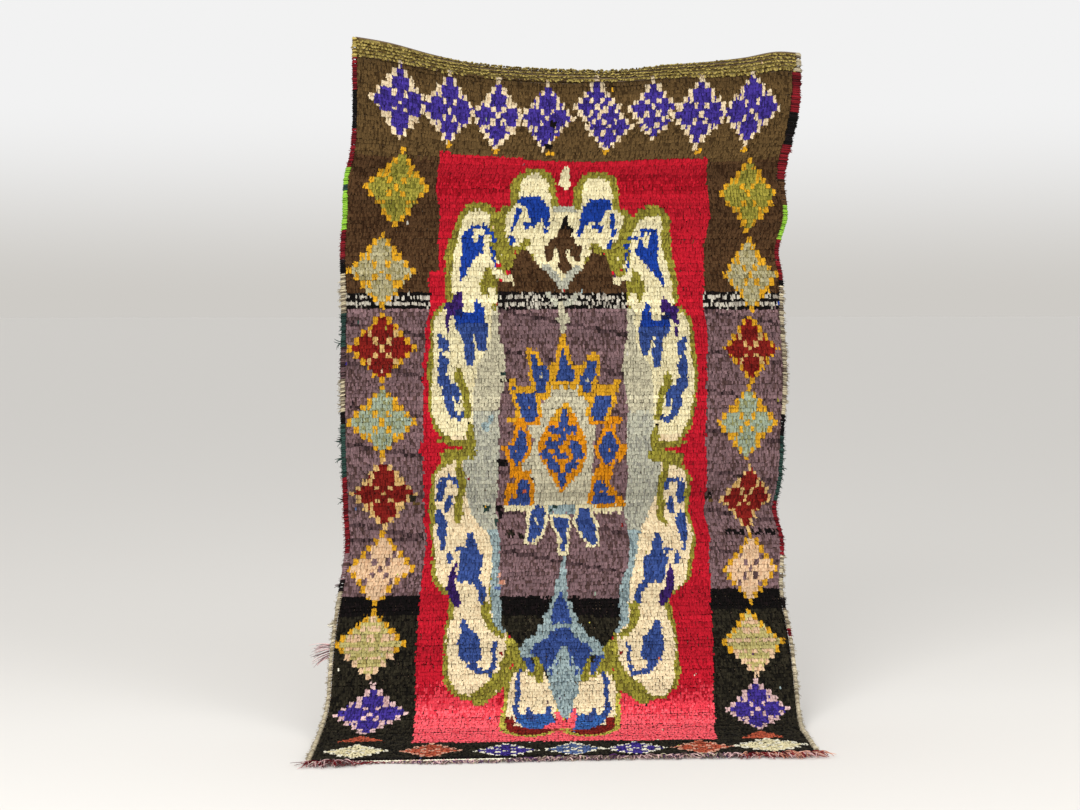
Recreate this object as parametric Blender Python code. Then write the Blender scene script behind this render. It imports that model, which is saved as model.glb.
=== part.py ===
# A knotted pile rug, held up by its top edge, whose lower end sweeps forward onto the floor.
# The origin is the middle of the top edge, +X runs to the viewer's right, -Y is the pile side.

import math
import random

import bmesh
import bpy
import numpy as np
from mathutils import Vector

# Driving dimensions, in metres
WIDTH = 1.20
LENGTH = 2.17
PILE_THICKNESS = 0.014
SELVEDGE_WIDTH = 0.010
GAP = 0.0003

# The fall of the cloth, from the floor upwards
FLAT_LENGTH = 0.195
FLOOR_BEND_RADIUS = 0.25
SLOPE_LENGTH = 0.156
UPPER_BEND_RADIUS = 0.60
SLOPE_ANGLE = math.radians(38)
LEAN = 0.03
TAIL_DRIFT = 0.09
TAIL_TURN = 0.03

# The top edge sags between the two held corners, and its middle curls backwards
SAG_DEPTH = 0.50
CURL_LENGTH = 0.060
CURL_ANGLE = math.radians(85)
RIPPLE = 0.006

# Grid of the pile body and steps of the edges
COLUMNS = 24
ROWS = 56
SIDE_RIM = 0.75

END_CORD_WIDTH = 0.006
STRAND_COUNT = 92
STRAND_HEIGHT = 0.0045
STRAND_STEPS = 3
STRIP_DEPTH = 0.005

# Height of the tuft of loose ends on the left edge, as a distance from the lower end
TAIL_TUFT_AT = 0.535
TAIL_TUFT_STRANDS = 7

# Drop of the top edge under the left corner: place across as a share of the half width, drop
TOP_EDGE = (
    (-1.00, 0.000),
    (-0.85, 0.014),
    (-0.65, 0.043),
    (-0.42, 0.070),
    (-0.20, 0.082),
    (0.00, 0.084),
    (0.17, 0.081),
    (0.38, 0.063),
    (0.60, 0.050),
    (0.75, 0.038),
    (0.90, 0.021),
    (1.00, 0.024),
)

# Wander of the two side edges: distance from the lower end, left edge outwards, right edge outwards
SIDE_EDGES = (
    (0.00, 0.022, 0.004),
    (0.12, 0.026, 0.000),
    (0.23, 0.030, -0.003),
    (0.39, 0.021, 0.000),
    (0.54, 0.022, -0.004),
    (0.68, 0.014, -0.019),
    (0.84, -0.002, -0.015),
    (0.91, 0.003, -0.032),
    (0.98, 0.006, -0.018),
    (1.14, 0.011, -0.008),
    (1.27, 0.011, -0.001),
    (1.43, 0.008, -0.010),
    (1.54, 0.009, -0.013),
    (1.61, 0.009, -0.024),
    (1.70, 0.002, 0.000),
    (1.80, -0.003, -0.007),
    (1.86, -0.018, 0.000),
    (1.93, -0.025, 0.018),
    (2.02, -0.026, 0.035),
    (2.17, -0.026, 0.038),
)

# Length of the fringe's strands: place across as a share of the half width, length
FRINGE_LENGTHS = (
    (-1.00, 0.052),
    (-0.84, 0.050),
    (-0.78, 0.026),
    (-0.50, 0.034),
    (-0.10, 0.030),
    (0.40, 0.034),
    (0.66, 0.040),
    (0.78, 0.050),
    (1.00, 0.058),
)

# Fullness of the overcast edges: distance from the lower end, left thickness, right thickness
SELVEDGE_BULK = (
    (0.00, 0.010, 0.012),
    (0.30, 0.011, 0.013),
    (0.60, 0.012, 0.012),
    (0.72, 0.015, 0.011),
    (1.00, 0.011, 0.010),
    (1.30, 0.014, 0.011),
    (1.62, 0.014, 0.012),
    (1.72, 0.011, 0.012),
    (1.95, 0.010, 0.011),
    (2.17, 0.012, 0.011),
)


def smooth_step(x):
    x = min(1.0, max(0.0, x))
    return x * x * (3 - 2 * x)


def read_table(table, column, x):
    """A smooth curve through one column of a table, by cubic pieces."""
    places = [row[0] for row in table]
    values = [row[column] for row in table]
    slopes = np.gradient(values, places)
    x = min(places[-1], max(places[0], x))
    i = min(int(np.searchsorted(places, x, side="right")) - 1, len(places) - 2)
    step = places[i + 1] - places[i]
    t = (x - places[i]) / step
    start = (1 + 2 * t) * (1 - t) ** 2 * values[i] + t * (1 - t) ** 2 * step * slopes[i]
    end = t * t * (3 - 2 * t) * values[i + 1] + t * t * (t - 1) * step * slopes[i + 1]
    return float(start + end)


def side_fall(up):
    """Forward distance and height above the floor, at a distance up the cloth from its end."""
    slope_forward = UPPER_BEND_RADIUS * (1 - math.cos(SLOPE_ANGLE))
    floor_start = slope_forward + SLOPE_LENGTH * math.sin(SLOPE_ANGLE)
    floor_turn = math.pi / 2 - SLOPE_ANGLE
    floor_forward = floor_start + FLOOR_BEND_RADIUS * math.cos(SLOPE_ANGLE)
    if up < FLAT_LENGTH:
        return floor_forward + FLAT_LENGTH - up, 0.0
    up -= FLAT_LENGTH
    if up < FLOOR_BEND_RADIUS * floor_turn:
        turned = up / FLOOR_BEND_RADIUS
        forward = floor_forward - FLOOR_BEND_RADIUS * math.sin(turned)
        return forward, FLOOR_BEND_RADIUS * (1 - math.cos(turned))
    up -= FLOOR_BEND_RADIUS * floor_turn
    height = FLOOR_BEND_RADIUS * (1 - math.sin(SLOPE_ANGLE))
    if up < SLOPE_LENGTH:
        return floor_start - up * math.sin(SLOPE_ANGLE), height + up * math.cos(SLOPE_ANGLE)
    up -= SLOPE_LENGTH
    height += SLOPE_LENGTH * math.cos(SLOPE_ANGLE)
    if up < UPPER_BEND_RADIUS * SLOPE_ANGLE:
        left = SLOPE_ANGLE - up / UPPER_BEND_RADIUS
        rise = math.sin(SLOPE_ANGLE) - math.sin(left)
        return UPPER_BEND_RADIUS * (1 - math.cos(left)), height + UPPER_BEND_RADIUS * rise
    up -= UPPER_BEND_RADIUS * SLOPE_ANGLE
    return 0.0, height + UPPER_BEND_RADIUS * math.sin(SLOPE_ANGLE) + up


FULL_FORWARD = side_fall(0.0)[0]
CORNER_HEIGHT = side_fall(LENGTH)[1]


def ripple(share, height):
    """The hung cloth's slow waves, which die out before the sweep."""
    wave = math.sin(4.3 * share + 1.1 * height) + 0.6 * math.sin(9.0 * share - 2.3 * height + 1.0)
    return RIPPLE * wave * smooth_step((height - 0.35) / 0.5)


def back_point(across, up):
    """A point of the cloth's back, with heights measured from the floor."""
    share = across / (WIDTH / 2)
    forward, height = side_fall(up)
    swept = max(0.0, forward) / FULL_FORWARD
    left_out = read_table(SIDE_EDGES, 1, up)
    right_out = read_table(SIDE_EDGES, 2, up)
    x = across - left_out * (1 - share) / 2 + right_out * (1 + share) / 2 - TAIL_DRIFT * swept
    lean = LEAN * smooth_step((CORNER_HEIGHT - height) / (CORNER_HEIGHT - 0.4))
    y = -forward - lean - ripple(share, height) - TAIL_TURN * share * swept

    drop = read_table(TOP_EDGE, 1, share)
    curl_angle = CURL_ANGLE * min(1.0, drop / 0.084)
    above = up - (LENGTH - CURL_LENGTH)
    lost = 0.0
    if curl_angle > 0.001:
        radius = CURL_LENGTH / curl_angle
        lost = CURL_LENGTH - radius * math.sin(curl_angle)
        if above > 0:
            turned = above / radius
            y += radius * (1 - math.cos(turned))
            height -= above - radius * math.sin(turned)
    height -= (drop - lost) * (1 - smooth_step((LENGTH - up) / SAG_DEPTH))
    return Vector((x, y, height))


ORIGIN = back_point(0.0, LENGTH)


def cloth_frame(across, up):
    """The back point with the directions across the cloth, down it and out of its pile."""
    step = 0.002
    point = back_point(across, up)
    along = (back_point(across + step, up) - back_point(across - step, up)).normalized()
    low = max(0.0, up - step)
    down = (back_point(across, low) - back_point(across, low + 2 * step)).normalized()
    out = down.cross(along).normalized()
    return point - ORIGIN, along, down, out


def make_object(name, vertices, faces, color, roughness):
    """One closed mesh object with its own material."""
    mesh = bpy.data.meshes.new(name)
    mesh.from_pydata([tuple(v) for v in vertices], [], faces)
    shape = bmesh.new()
    shape.from_mesh(mesh)
    bmesh.ops.recalc_face_normals(shape, faces=shape.faces)
    shape.to_mesh(mesh)
    shape.free()
    material = bpy.data.materials.new(name)
    material.use_nodes = True
    surface = material.node_tree.nodes["Principled BSDF"]
    surface.inputs["Base Color"].default_value = (*color, 1.0)
    surface.inputs["Roughness"].default_value = roughness
    surface.inputs["Metallic"].default_value = 0.0
    mesh.materials.append(material)
    item = bpy.data.objects.new(name, mesh)
    bpy.context.scene.collection.objects.link(item)
    return item


def ring_tube(rings):
    """Faces of a tube through equal rings of vertices, closed at both ends."""
    count = len(rings[0])
    vertices = [point for ring in rings for point in ring]
    faces = []
    for i in range(len(rings) - 1):
        for j in range(count):
            k = (j + 1) % count
            faces.append((i * count + j, i * count + k, (i + 1) * count + k, (i + 1) * count + j))
    faces.append(tuple(range(count)))
    faces.append(tuple(range((len(rings) - 1) * count, len(rings) * count)))
    return vertices, faces


def build_pile_body():
    """The knotted cloth with its pile, as one thick sheet."""
    half = WIDTH / 2 - SELVEDGE_WIDTH
    vertices = []
    for i in range(ROWS + 1):
        for j in range(COLUMNS + 1):
            point, _, _, out = cloth_frame(half * (2 * j / COLUMNS - 1), LENGTH * i / ROWS)
            rim = SIDE_RIM if j in (0, COLUMNS) or i in (0, ROWS) else 1.0
            vertices.append(point)
            vertices.append(point + out * PILE_THICKNESS * rim)

    def at(i, j, front):
        return 2 * (i * (COLUMNS + 1) + j) + front

    faces = []
    for i in range(ROWS):
        for j in range(COLUMNS):
            for front in (0, 1):
                faces.append((at(i, j, front), at(i, j + 1, front), at(i + 1, j + 1, front), at(i + 1, j, front)))
        for j in (0, COLUMNS):
            faces.append((at(i, j, 0), at(i, j, 1), at(i + 1, j, 1), at(i + 1, j, 0)))
    for j in range(COLUMNS):
        for i in (0, ROWS):
            faces.append((at(i, j, 0), at(i, j, 1), at(i, j + 1, 1), at(i, j + 1, 0)))
    return make_object("pile_rug", vertices, faces, (0.13, 0.075, 0.05), 0.95)


def build_selvedge(name, side, color):
    """The overcast binding along one side edge, lumpy where its yarns change."""
    chance = random.Random(11 + side)
    half = WIDTH / 2 - SELVEDGE_WIDTH
    column = 1 if side < 0 else 2
    rings = []
    for i in range(ROWS + 1):
        up = LENGTH * i / ROWS
        point, along, _, out = cloth_frame(side * half, up)
        outward = along * side
        bulk = read_table(SELVEDGE_BULK, column, up)
        width = SELVEDGE_WIDTH * chance.uniform(0.85, 1.15)
        height = bulk * chance.uniform(0.9, 1.1)
        profile = (
            (0.00, 0.15),
            (0.00, 0.80),
            (0.40, 1.00),
            (0.85, 0.80),
            (1.00, 0.40),
            (0.70, 0.00),
            (0.30, 0.00),
        )
        rings.append([point + outward * (GAP + width * a) + out * (height * b) for a, b in profile])
    vertices, faces = ring_tube(rings)
    return make_object(name, vertices, faces, color, 0.95)


def build_end_cord():
    """The twined cord that locks the last row at the lower end."""
    half = WIDTH / 2 - SELVEDGE_WIDTH
    steps = 2 * COLUMNS
    chance = random.Random(5)
    rings = []
    for i in range(steps + 1):
        point, _, down, out = cloth_frame(half * (2 * i / steps - 1), 0.0)
        width = END_CORD_WIDTH * (1 - 0.12 * (i % 2)) * chance.uniform(0.95, 1.0)
        profile = ((0.0, 0.3), (0.0, 0.7), (0.5, 1.0), (1.0, 0.7), (1.0, 0.3), (0.5, 0.0))
        rings.append([point + down * (GAP + width * a) + out * (width * b) for a, b in profile])
    vertices, faces = ring_tube(rings)
    return make_object("end_cord", vertices, faces, (0.72, 0.64, 0.52), 0.95)


def strand_strip(name, rows, strand_points, color):
    """A narrow strip whose front quads grow into strands of four sides.

    rows holds four points for each edge of a strand or of the space after it, in the order
    back low, back high, front high, front low; strand_points gives a strand's rings.
    """
    vertices = [point for row in rows for point in row]
    faces = [(0, 1, 2, 3)]
    last = 4 * (len(rows) - 1)
    faces.append((last, last + 1, last + 2, last + 3))
    for i in range(len(rows) - 1):
        a = 4 * i
        b = a + 4
        faces.append((a, a + 1, b + 1, b))
        faces.append((a + 1, a + 2, b + 2, b + 1))
        faces.append((a + 3, a, b, b + 3))
        root = (a + 3, a + 2, b + 2, b + 3)
        if i % 2:
            faces.append(root)
            continue
        ring = root
        for points in strand_points(i // 2, [vertices[k] for k in root]):
            first = len(vertices)
            vertices.extend(points)
            grown = tuple(range(first, first + 4))
            for k in range(4):
                m = (k + 1) % 4
                faces.append((ring[k], ring[m], grown[m], grown[k]))
            ring = grown
        faces.append(ring)
    return make_object(name, vertices, faces, color, 0.95)


def build_fringe():
    """The short frayed warp ends past the end cord, lying on the floor."""
    half = WIDTH / 2 - SELVEDGE_WIDTH / 2
    chance = random.Random(23)
    offset = END_CORD_WIDTH + 2 * GAP
    pitch = 2 * half / (STRAND_COUNT - 0.4)
    edges = []
    for i in range(STRAND_COUNT):
        start = -half + i * pitch
        edges.append(start)
        edges.append(start + pitch * chance.uniform(0.48, 0.62))
    rows = []
    for across in edges:
        point, _, down, out = cloth_frame(across, 0.0)
        back = point + down * offset
        front = back + down * STRIP_DEPTH
        rows.append((back, back + out * STRAND_HEIGHT, front + out * STRAND_HEIGHT, front))

    def strand(index, root):
        share = edges[2 * index] / half
        length = read_table(FRINGE_LENGTHS, 1, share) * chance.uniform(0.8, 1.15)
        _, along, down, out = cloth_frame(edges[2 * index], 0.0)
        sway = 0.22 * math.sin(0.55 * index) + 0.12 * math.sin(0.21 * index + 1.0) + 0.25 * share ** 5
        middle = (root[0] + root[3]) / 2
        half_width = (root[3] - root[0]).length / 2
        rings = []
        for step in range(1, STRAND_STEPS + 1):
            part = step / STRAND_STEPS
            turn = sway * (0.6 + 0.6 * part)
            middle = middle + (down * math.cos(turn) + along * math.sin(turn)) * (length / STRAND_STEPS)
            side = (along * math.cos(turn) - down * math.sin(turn)) * half_width * (1 - 0.6 * part)
            rise = out * STRAND_HEIGHT * (1 - 0.45 * part)
            rings.append([middle - side, middle - side + rise, middle + side + rise, middle + side])
        return rings

    return strand_strip("end_fringe", rows, strand, (0.30, 0.12, 0.14))


def build_tail_tuft():
    """A tuft of loose weft ends that stands out of the left edge above the floor."""
    half = WIDTH / 2
    chance = random.Random(31)
    point, along, down, out = cloth_frame(-half, TAIL_TUFT_AT)
    outward = -along
    foot = point + outward * (SELVEDGE_WIDTH * 0.15 + 3 * GAP) + out * 0.003
    pitch = 0.0030
    rows = []
    for i in range(2 * TAIL_TUFT_STRANDS):
        start = foot + down * (pitch * (i - TAIL_TUFT_STRANDS))
        front = start + outward * 0.004
        rows.append((start, start + out * 0.005, front + out * 0.005, front))

    def strand(index, root):
        share = 2 * index / (TAIL_TUFT_STRANDS - 1) - 1
        length = 0.052 * chance.uniform(0.75, 1.1)
        middle = sum(root, Vector()) / 4
        half_width = (root[3] - root[0]).length / 2
        half_height = (root[1] - root[0]).length / 2
        rings = []
        for step in range(1, STRAND_STEPS + 1):
            part = step / STRAND_STEPS
            turn = math.radians(12 + 20 * part + 16 * share)
            middle = middle + (outward * math.cos(turn) + down * math.sin(turn)) * (length / STRAND_STEPS)
            side = (down * math.cos(turn) - outward * math.sin(turn)) * half_width * (1 - 0.3 * part)
            rise = out * half_height * (1 - 0.5 * part)
            rings.append([middle - side - rise, middle - side + rise, middle + side + rise, middle + side - rise])
        return rings

    return strand_strip("edge_tuft", rows, strand, (0.32, 0.17, 0.22))


def build():
    for item in list(bpy.data.objects):
        bpy.data.objects.remove(item, do_unlink=True)
    build_pile_body()
    build_selvedge("selvedge_left", -1, (0.42, 0.36, 0.27))
    build_selvedge("selvedge_right", 1, (0.50, 0.44, 0.34))
    build_end_cord()
    build_fringe()
    build_tail_tuft()


build()
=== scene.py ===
import math

import bpy
import numpy as np
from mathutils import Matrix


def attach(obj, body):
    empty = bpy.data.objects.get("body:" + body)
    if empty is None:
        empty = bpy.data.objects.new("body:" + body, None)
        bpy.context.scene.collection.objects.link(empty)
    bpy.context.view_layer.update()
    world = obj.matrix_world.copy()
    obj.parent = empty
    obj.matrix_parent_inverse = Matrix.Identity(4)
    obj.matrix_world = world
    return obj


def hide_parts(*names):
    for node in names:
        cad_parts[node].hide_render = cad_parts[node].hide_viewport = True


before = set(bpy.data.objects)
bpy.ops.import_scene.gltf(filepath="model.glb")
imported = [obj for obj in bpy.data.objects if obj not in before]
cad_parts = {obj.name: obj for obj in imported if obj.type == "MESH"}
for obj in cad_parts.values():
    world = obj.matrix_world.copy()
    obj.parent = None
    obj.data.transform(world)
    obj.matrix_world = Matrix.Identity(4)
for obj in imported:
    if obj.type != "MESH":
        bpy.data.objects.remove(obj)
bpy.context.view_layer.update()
scene = bpy.context.scene
scene.view_settings.view_transform = "Standard"  # dyed wool keeps the colours it is given
print("Frame loaded")


# Camera: before the rug's left edge and a little above the middle of its height, turned to the right
cameraLook = {
    "lensMillimetres": 65.2,
    "standsAt": (-0.792, -5.2315, -0.6086),
    "turnRight": 7.5,
    "tiltDown": 3.07,
}
cameraData = bpy.data.cameras.new("camera")
cameraData.sensor_width = 36
cameraData.lens = cameraLook["lensMillimetres"]
camera = bpy.data.objects.new("camera", cameraData)
camera.location = cameraLook["standsAt"]
camera.rotation_euler = (
    math.radians(90 - cameraLook["tiltDown"]),
    0,
    math.radians(-cameraLook["turnRight"]),
)
scene.collection.objects.link(camera)
scene.camera = camera


def linearColor(hexColor):
    channels = [int(hexColor[i:i + 2], 16) / 255 for i in (1, 3, 5)]
    return [c / 12.92 if c <= 0.04045 else ((c + 0.055) / 1.055) ** 2.4 for c in channels]


def addNode(tree, kind, values=None, links=None, **settings):
    node = tree.nodes.new(kind)
    for name, value in settings.items():
        setattr(node, name, value)
    for name, value in (values or {}).items():
        node.inputs[name].default_value = value
    for name, (source, output) in (links or {}).items():
        tree.links.new(source.outputs[output], node.inputs[name])
    return node


def newMaterial(name, values):
    material = bpy.data.materials.new(name)
    material.use_nodes = True
    surface = material.node_tree.nodes["Principled BSDF"]
    for key, value in values.items():
        surface.inputs[key].default_value = value
    return material


# Studio: a plain pale floor, one large soft light and a weaker one on the other side
studio = {
    "floorHeight": -1.698583,
    "floorSize": 240.0,
    "floorColor": "#d8d5d0",
    "worldColor": "#f2f2f2",
    "horizonColor": "#cecbc6",
    "horizonTop": 0.10,  # rise of a direction at which the air has its own colour
    "worldStrength": 1.0,
    "lights": (
        ("key_light", (-2.6, -4.2, 1.6), (3.2, 2.4), 200),
        ("fill_light", (3.4, -3.6, 0.6), (2.6, 2.6), 84),
    ),
    "aim": (0.0, 0.0, -0.9),
}


def buildStudio():
    half = studio["floorSize"] / 2
    z = studio["floorHeight"]
    corners = [(-half, -half, z), (half, -half, z), (half, half, z), (-half, half, z)]
    mesh = bpy.data.meshes.new("studio_floor")
    mesh.from_pydata(corners, [], [(0, 1, 2, 3)])
    floor = bpy.data.objects.new("studio_floor", mesh)
    scene.collection.objects.link(floor)
    # Matt painted studio floor: even and pale, with hardly any shine
    mesh.materials.append(newMaterial("Matt painted studio floor", {
        "Base Color": (*linearColor(studio["floorColor"]), 1),
        "Roughness": 0.85,
        "Specular IOR Level": 0.2,
    }))

    world = bpy.data.worlds.new("studio_air")
    world.use_nodes = True
    tree = world.node_tree
    air = tree.nodes["Background"]
    # the air takes the floor's grey at the horizon, so the floor runs on without an edge
    skyPlace = addNode(tree, "ShaderNodeTexCoord")
    direction = addNode(tree, "ShaderNodeSeparateXYZ", links={"Vector": (skyPlace, "Generated")})
    height = addNode(tree, "ShaderNodeMapRange", {"From Max": studio["horizonTop"]},
                     {"Value": (direction, "Z")}, interpolation_type="SMOOTHSTEP")
    # inputs 0, 6 and 7 are the factor and the two colours, and output 2 is their mix
    horizon, overhead = ((*linearColor(studio[key]), 1) for key in ("horizonColor", "worldColor"))
    airColor = addNode(tree, "ShaderNodeMix", {6: horizon, 7: overhead}, {0: (height, "Result")},
                       data_type="RGBA")
    tree.links.new(airColor.outputs[2], air.inputs["Color"])
    air.inputs["Strength"].default_value = studio["worldStrength"]
    scene.world = world
    aim = bpy.data.objects.new("light_aim", None)
    aim.location = studio["aim"]
    scene.collection.objects.link(aim)
    for name, place, size, power in studio["lights"]:
        data = bpy.data.lights.new(name, "AREA")
        data.shape = "RECTANGLE"
        data.size, data.size_y = size
        data.energy = power
        light = bpy.data.objects.new(name, data)
        light.location = place
        scene.collection.objects.link(light)
        look = light.constraints.new("TRACK_TO")
        look.target = aim
        look.track_axis = "TRACK_NEGATIVE_Z"
        look.up_axis = "UP_Y"


buildStudio()
print("Studio ready")


# How the cloth hangs, in metres: the same named sizes as in the part's source
cloth = {
    "width": 1.20,
    "length": 2.17,
    "edgeWidth": 0.010,
    "gap": 0.0003,
    "flat": 0.195,
    "floorBend": 0.25,
    "slope": 0.156,
    "kneeBend": 0.60,
    "slopeAngle": math.radians(38),
    "lean": 0.03,
    "tailDrift": 0.09,
    "tailTurn": 0.03,
    "sagDepth": 0.50,
    "curlLength": 0.060,
    "curlAngle": math.radians(85),
    "ripple": 0.006,
}
halfCloth = cloth["width"] / 2 - cloth["edgeWidth"]

# Drop of the top edge under the left corner: place across as a share of the half width, drop
topEdge = (
    (-1.00, 0.000), (-0.85, 0.014), (-0.65, 0.043), (-0.42, 0.070), (-0.20, 0.082), (0.00, 0.084),
    (0.17, 0.081), (0.38, 0.063), (0.60, 0.050), (0.75, 0.038), (0.90, 0.021), (1.00, 0.024),
)

# Wander of the side edges: distance from the lower end, left edge outwards, right edge outwards
sideEdges = (
    (0.00, 0.022, 0.004), (0.12, 0.026, 0.000), (0.23, 0.030, -0.003), (0.39, 0.021, 0.000),
    (0.54, 0.022, -0.004), (0.68, 0.014, -0.019), (0.84, -0.002, -0.015), (0.91, 0.003, -0.032),
    (0.98, 0.006, -0.018), (1.14, 0.011, -0.008), (1.27, 0.011, -0.001), (1.43, 0.008, -0.010),
    (1.54, 0.009, -0.013), (1.61, 0.009, -0.024), (1.70, 0.002, 0.000), (1.80, -0.003, -0.007),
    (1.86, -0.018, 0.000), (1.93, -0.025, 0.018), (2.02, -0.026, 0.035), (2.17, -0.026, 0.038),
)


def smoothStep(x):
    x = np.clip(x, 0.0, 1.0)
    return x * x * (3 - 2 * x)


# A smooth curve through one column of a table, by cubic pieces
def readTable(table, column, places):
    rows = np.array(table)
    known, values = rows[:, 0], rows[:, column]
    slopes = np.gradient(values, known)
    places = np.clip(places, known[0], known[-1])
    i = np.clip(np.searchsorted(known, places, side="right") - 1, 0, len(known) - 2)
    step = known[i + 1] - known[i]
    t = (places - known[i]) / step
    start = (1 + 2 * t) * (1 - t) ** 2 * values[i] + t * (1 - t) ** 2 * step * slopes[i]
    return start + t * t * (3 - 2 * t) * values[i + 1] + t * t * (t - 1) * step * slopes[i + 1]


# Forward distance and height above the floor, at a distance up the cloth from its lower end
def sideFall(up):
    bend, slope, knee, angle = (cloth[k] for k in ("floorBend", "slope", "kneeBend", "slopeAngle"))
    floorStart = knee * (1 - math.cos(angle)) + slope * math.sin(angle)
    floorForward = floorStart + bend * math.cos(angle)
    inBend = up - cloth["flat"]
    onSlope = inBend - bend * (math.pi / 2 - angle)
    inKnee = onSlope - slope
    hanging = inKnee - knee * angle
    lowHeight = bend * (1 - math.sin(angle))
    midHeight = lowHeight + slope * math.cos(angle)
    which = [inBend < 0, onSlope < 0, inKnee < 0, hanging < 0]
    forward = np.select(which, [
        floorForward - inBend,
        floorForward - bend * np.sin(inBend / bend),
        floorStart - onSlope * math.sin(angle),
        knee * (1 - np.cos(angle - inKnee / knee)),
    ], 0.0)
    height = np.select(which, [
        0 * inBend,
        bend * (1 - np.cos(inBend / bend)),
        lowHeight + onSlope * math.cos(angle),
        midHeight + knee * (math.sin(angle) - np.sin(angle - inKnee / knee)),
    ], midHeight + knee * math.sin(angle) + hanging)
    return forward, height


deepestSag = max(drop for share, drop in topEdge)
fullForward = float(sideFall(np.array(0.0))[0])
cornerHeight = float(sideFall(np.array(cloth["length"]))[1])


# Points of the cloth's back, with heights measured from the floor
def backPoint(across, up):
    share = across / (cloth["width"] / 2)
    forward, height = sideFall(up)
    swept = np.maximum(0.0, forward) / fullForward
    leftOut = readTable(sideEdges, 1, up)
    rightOut = readTable(sideEdges, 2, up)
    x = across - leftOut * (1 - share) / 2 + rightOut * (1 + share) / 2 - cloth["tailDrift"] * swept
    lean = cloth["lean"] * smoothStep((cornerHeight - height) / (cornerHeight - 0.4))
    wave = np.sin(4.3 * share + 1.1 * height) + 0.6 * np.sin(9.0 * share - 2.3 * height + 1.0)
    wave = cloth["ripple"] * wave * smoothStep((height - 0.35) / 0.5)
    y = -forward - lean - wave - cloth["tailTurn"] * share * swept

    drop = readTable(topEdge, 1, share)
    curlAngle = np.maximum(cloth["curlAngle"] * np.minimum(1.0, drop / deepestSag), 0.001)
    radius = cloth["curlLength"] / curlAngle
    lost = cloth["curlLength"] - radius * np.sin(curlAngle)
    above = np.maximum(0.0, up - (cloth["length"] - cloth["curlLength"]))
    turned = above / radius
    y = y + radius * (1 - np.cos(turned))
    height = height - (above - radius * np.sin(turned))
    height = height - (drop - lost) * (1 - smoothStep((cloth["length"] - up) / cloth["sagDepth"]))
    return np.stack(np.broadcast_arrays(x, y, height), axis=-1)


clothOrigin = backPoint(np.array(0.0), np.array(cloth["length"]))


def unit(vectors):
    return vectors / np.linalg.norm(vectors, axis=-1, keepdims=True)


# The back point with the directions across the cloth, down it and out of its pile
def clothFrame(across, up):
    across, up = np.broadcast_arrays(np.asarray(across, float), np.asarray(up, float))
    step = 0.002
    along = unit(backPoint(across + step, up) - backPoint(across - step, up))
    low = np.maximum(0.0, up - step)
    down = unit(backPoint(across, low) - backPoint(across, low + 2 * step))
    return backPoint(across, up) - clothOrigin, along, down, unit(np.cross(down, along))


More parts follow.
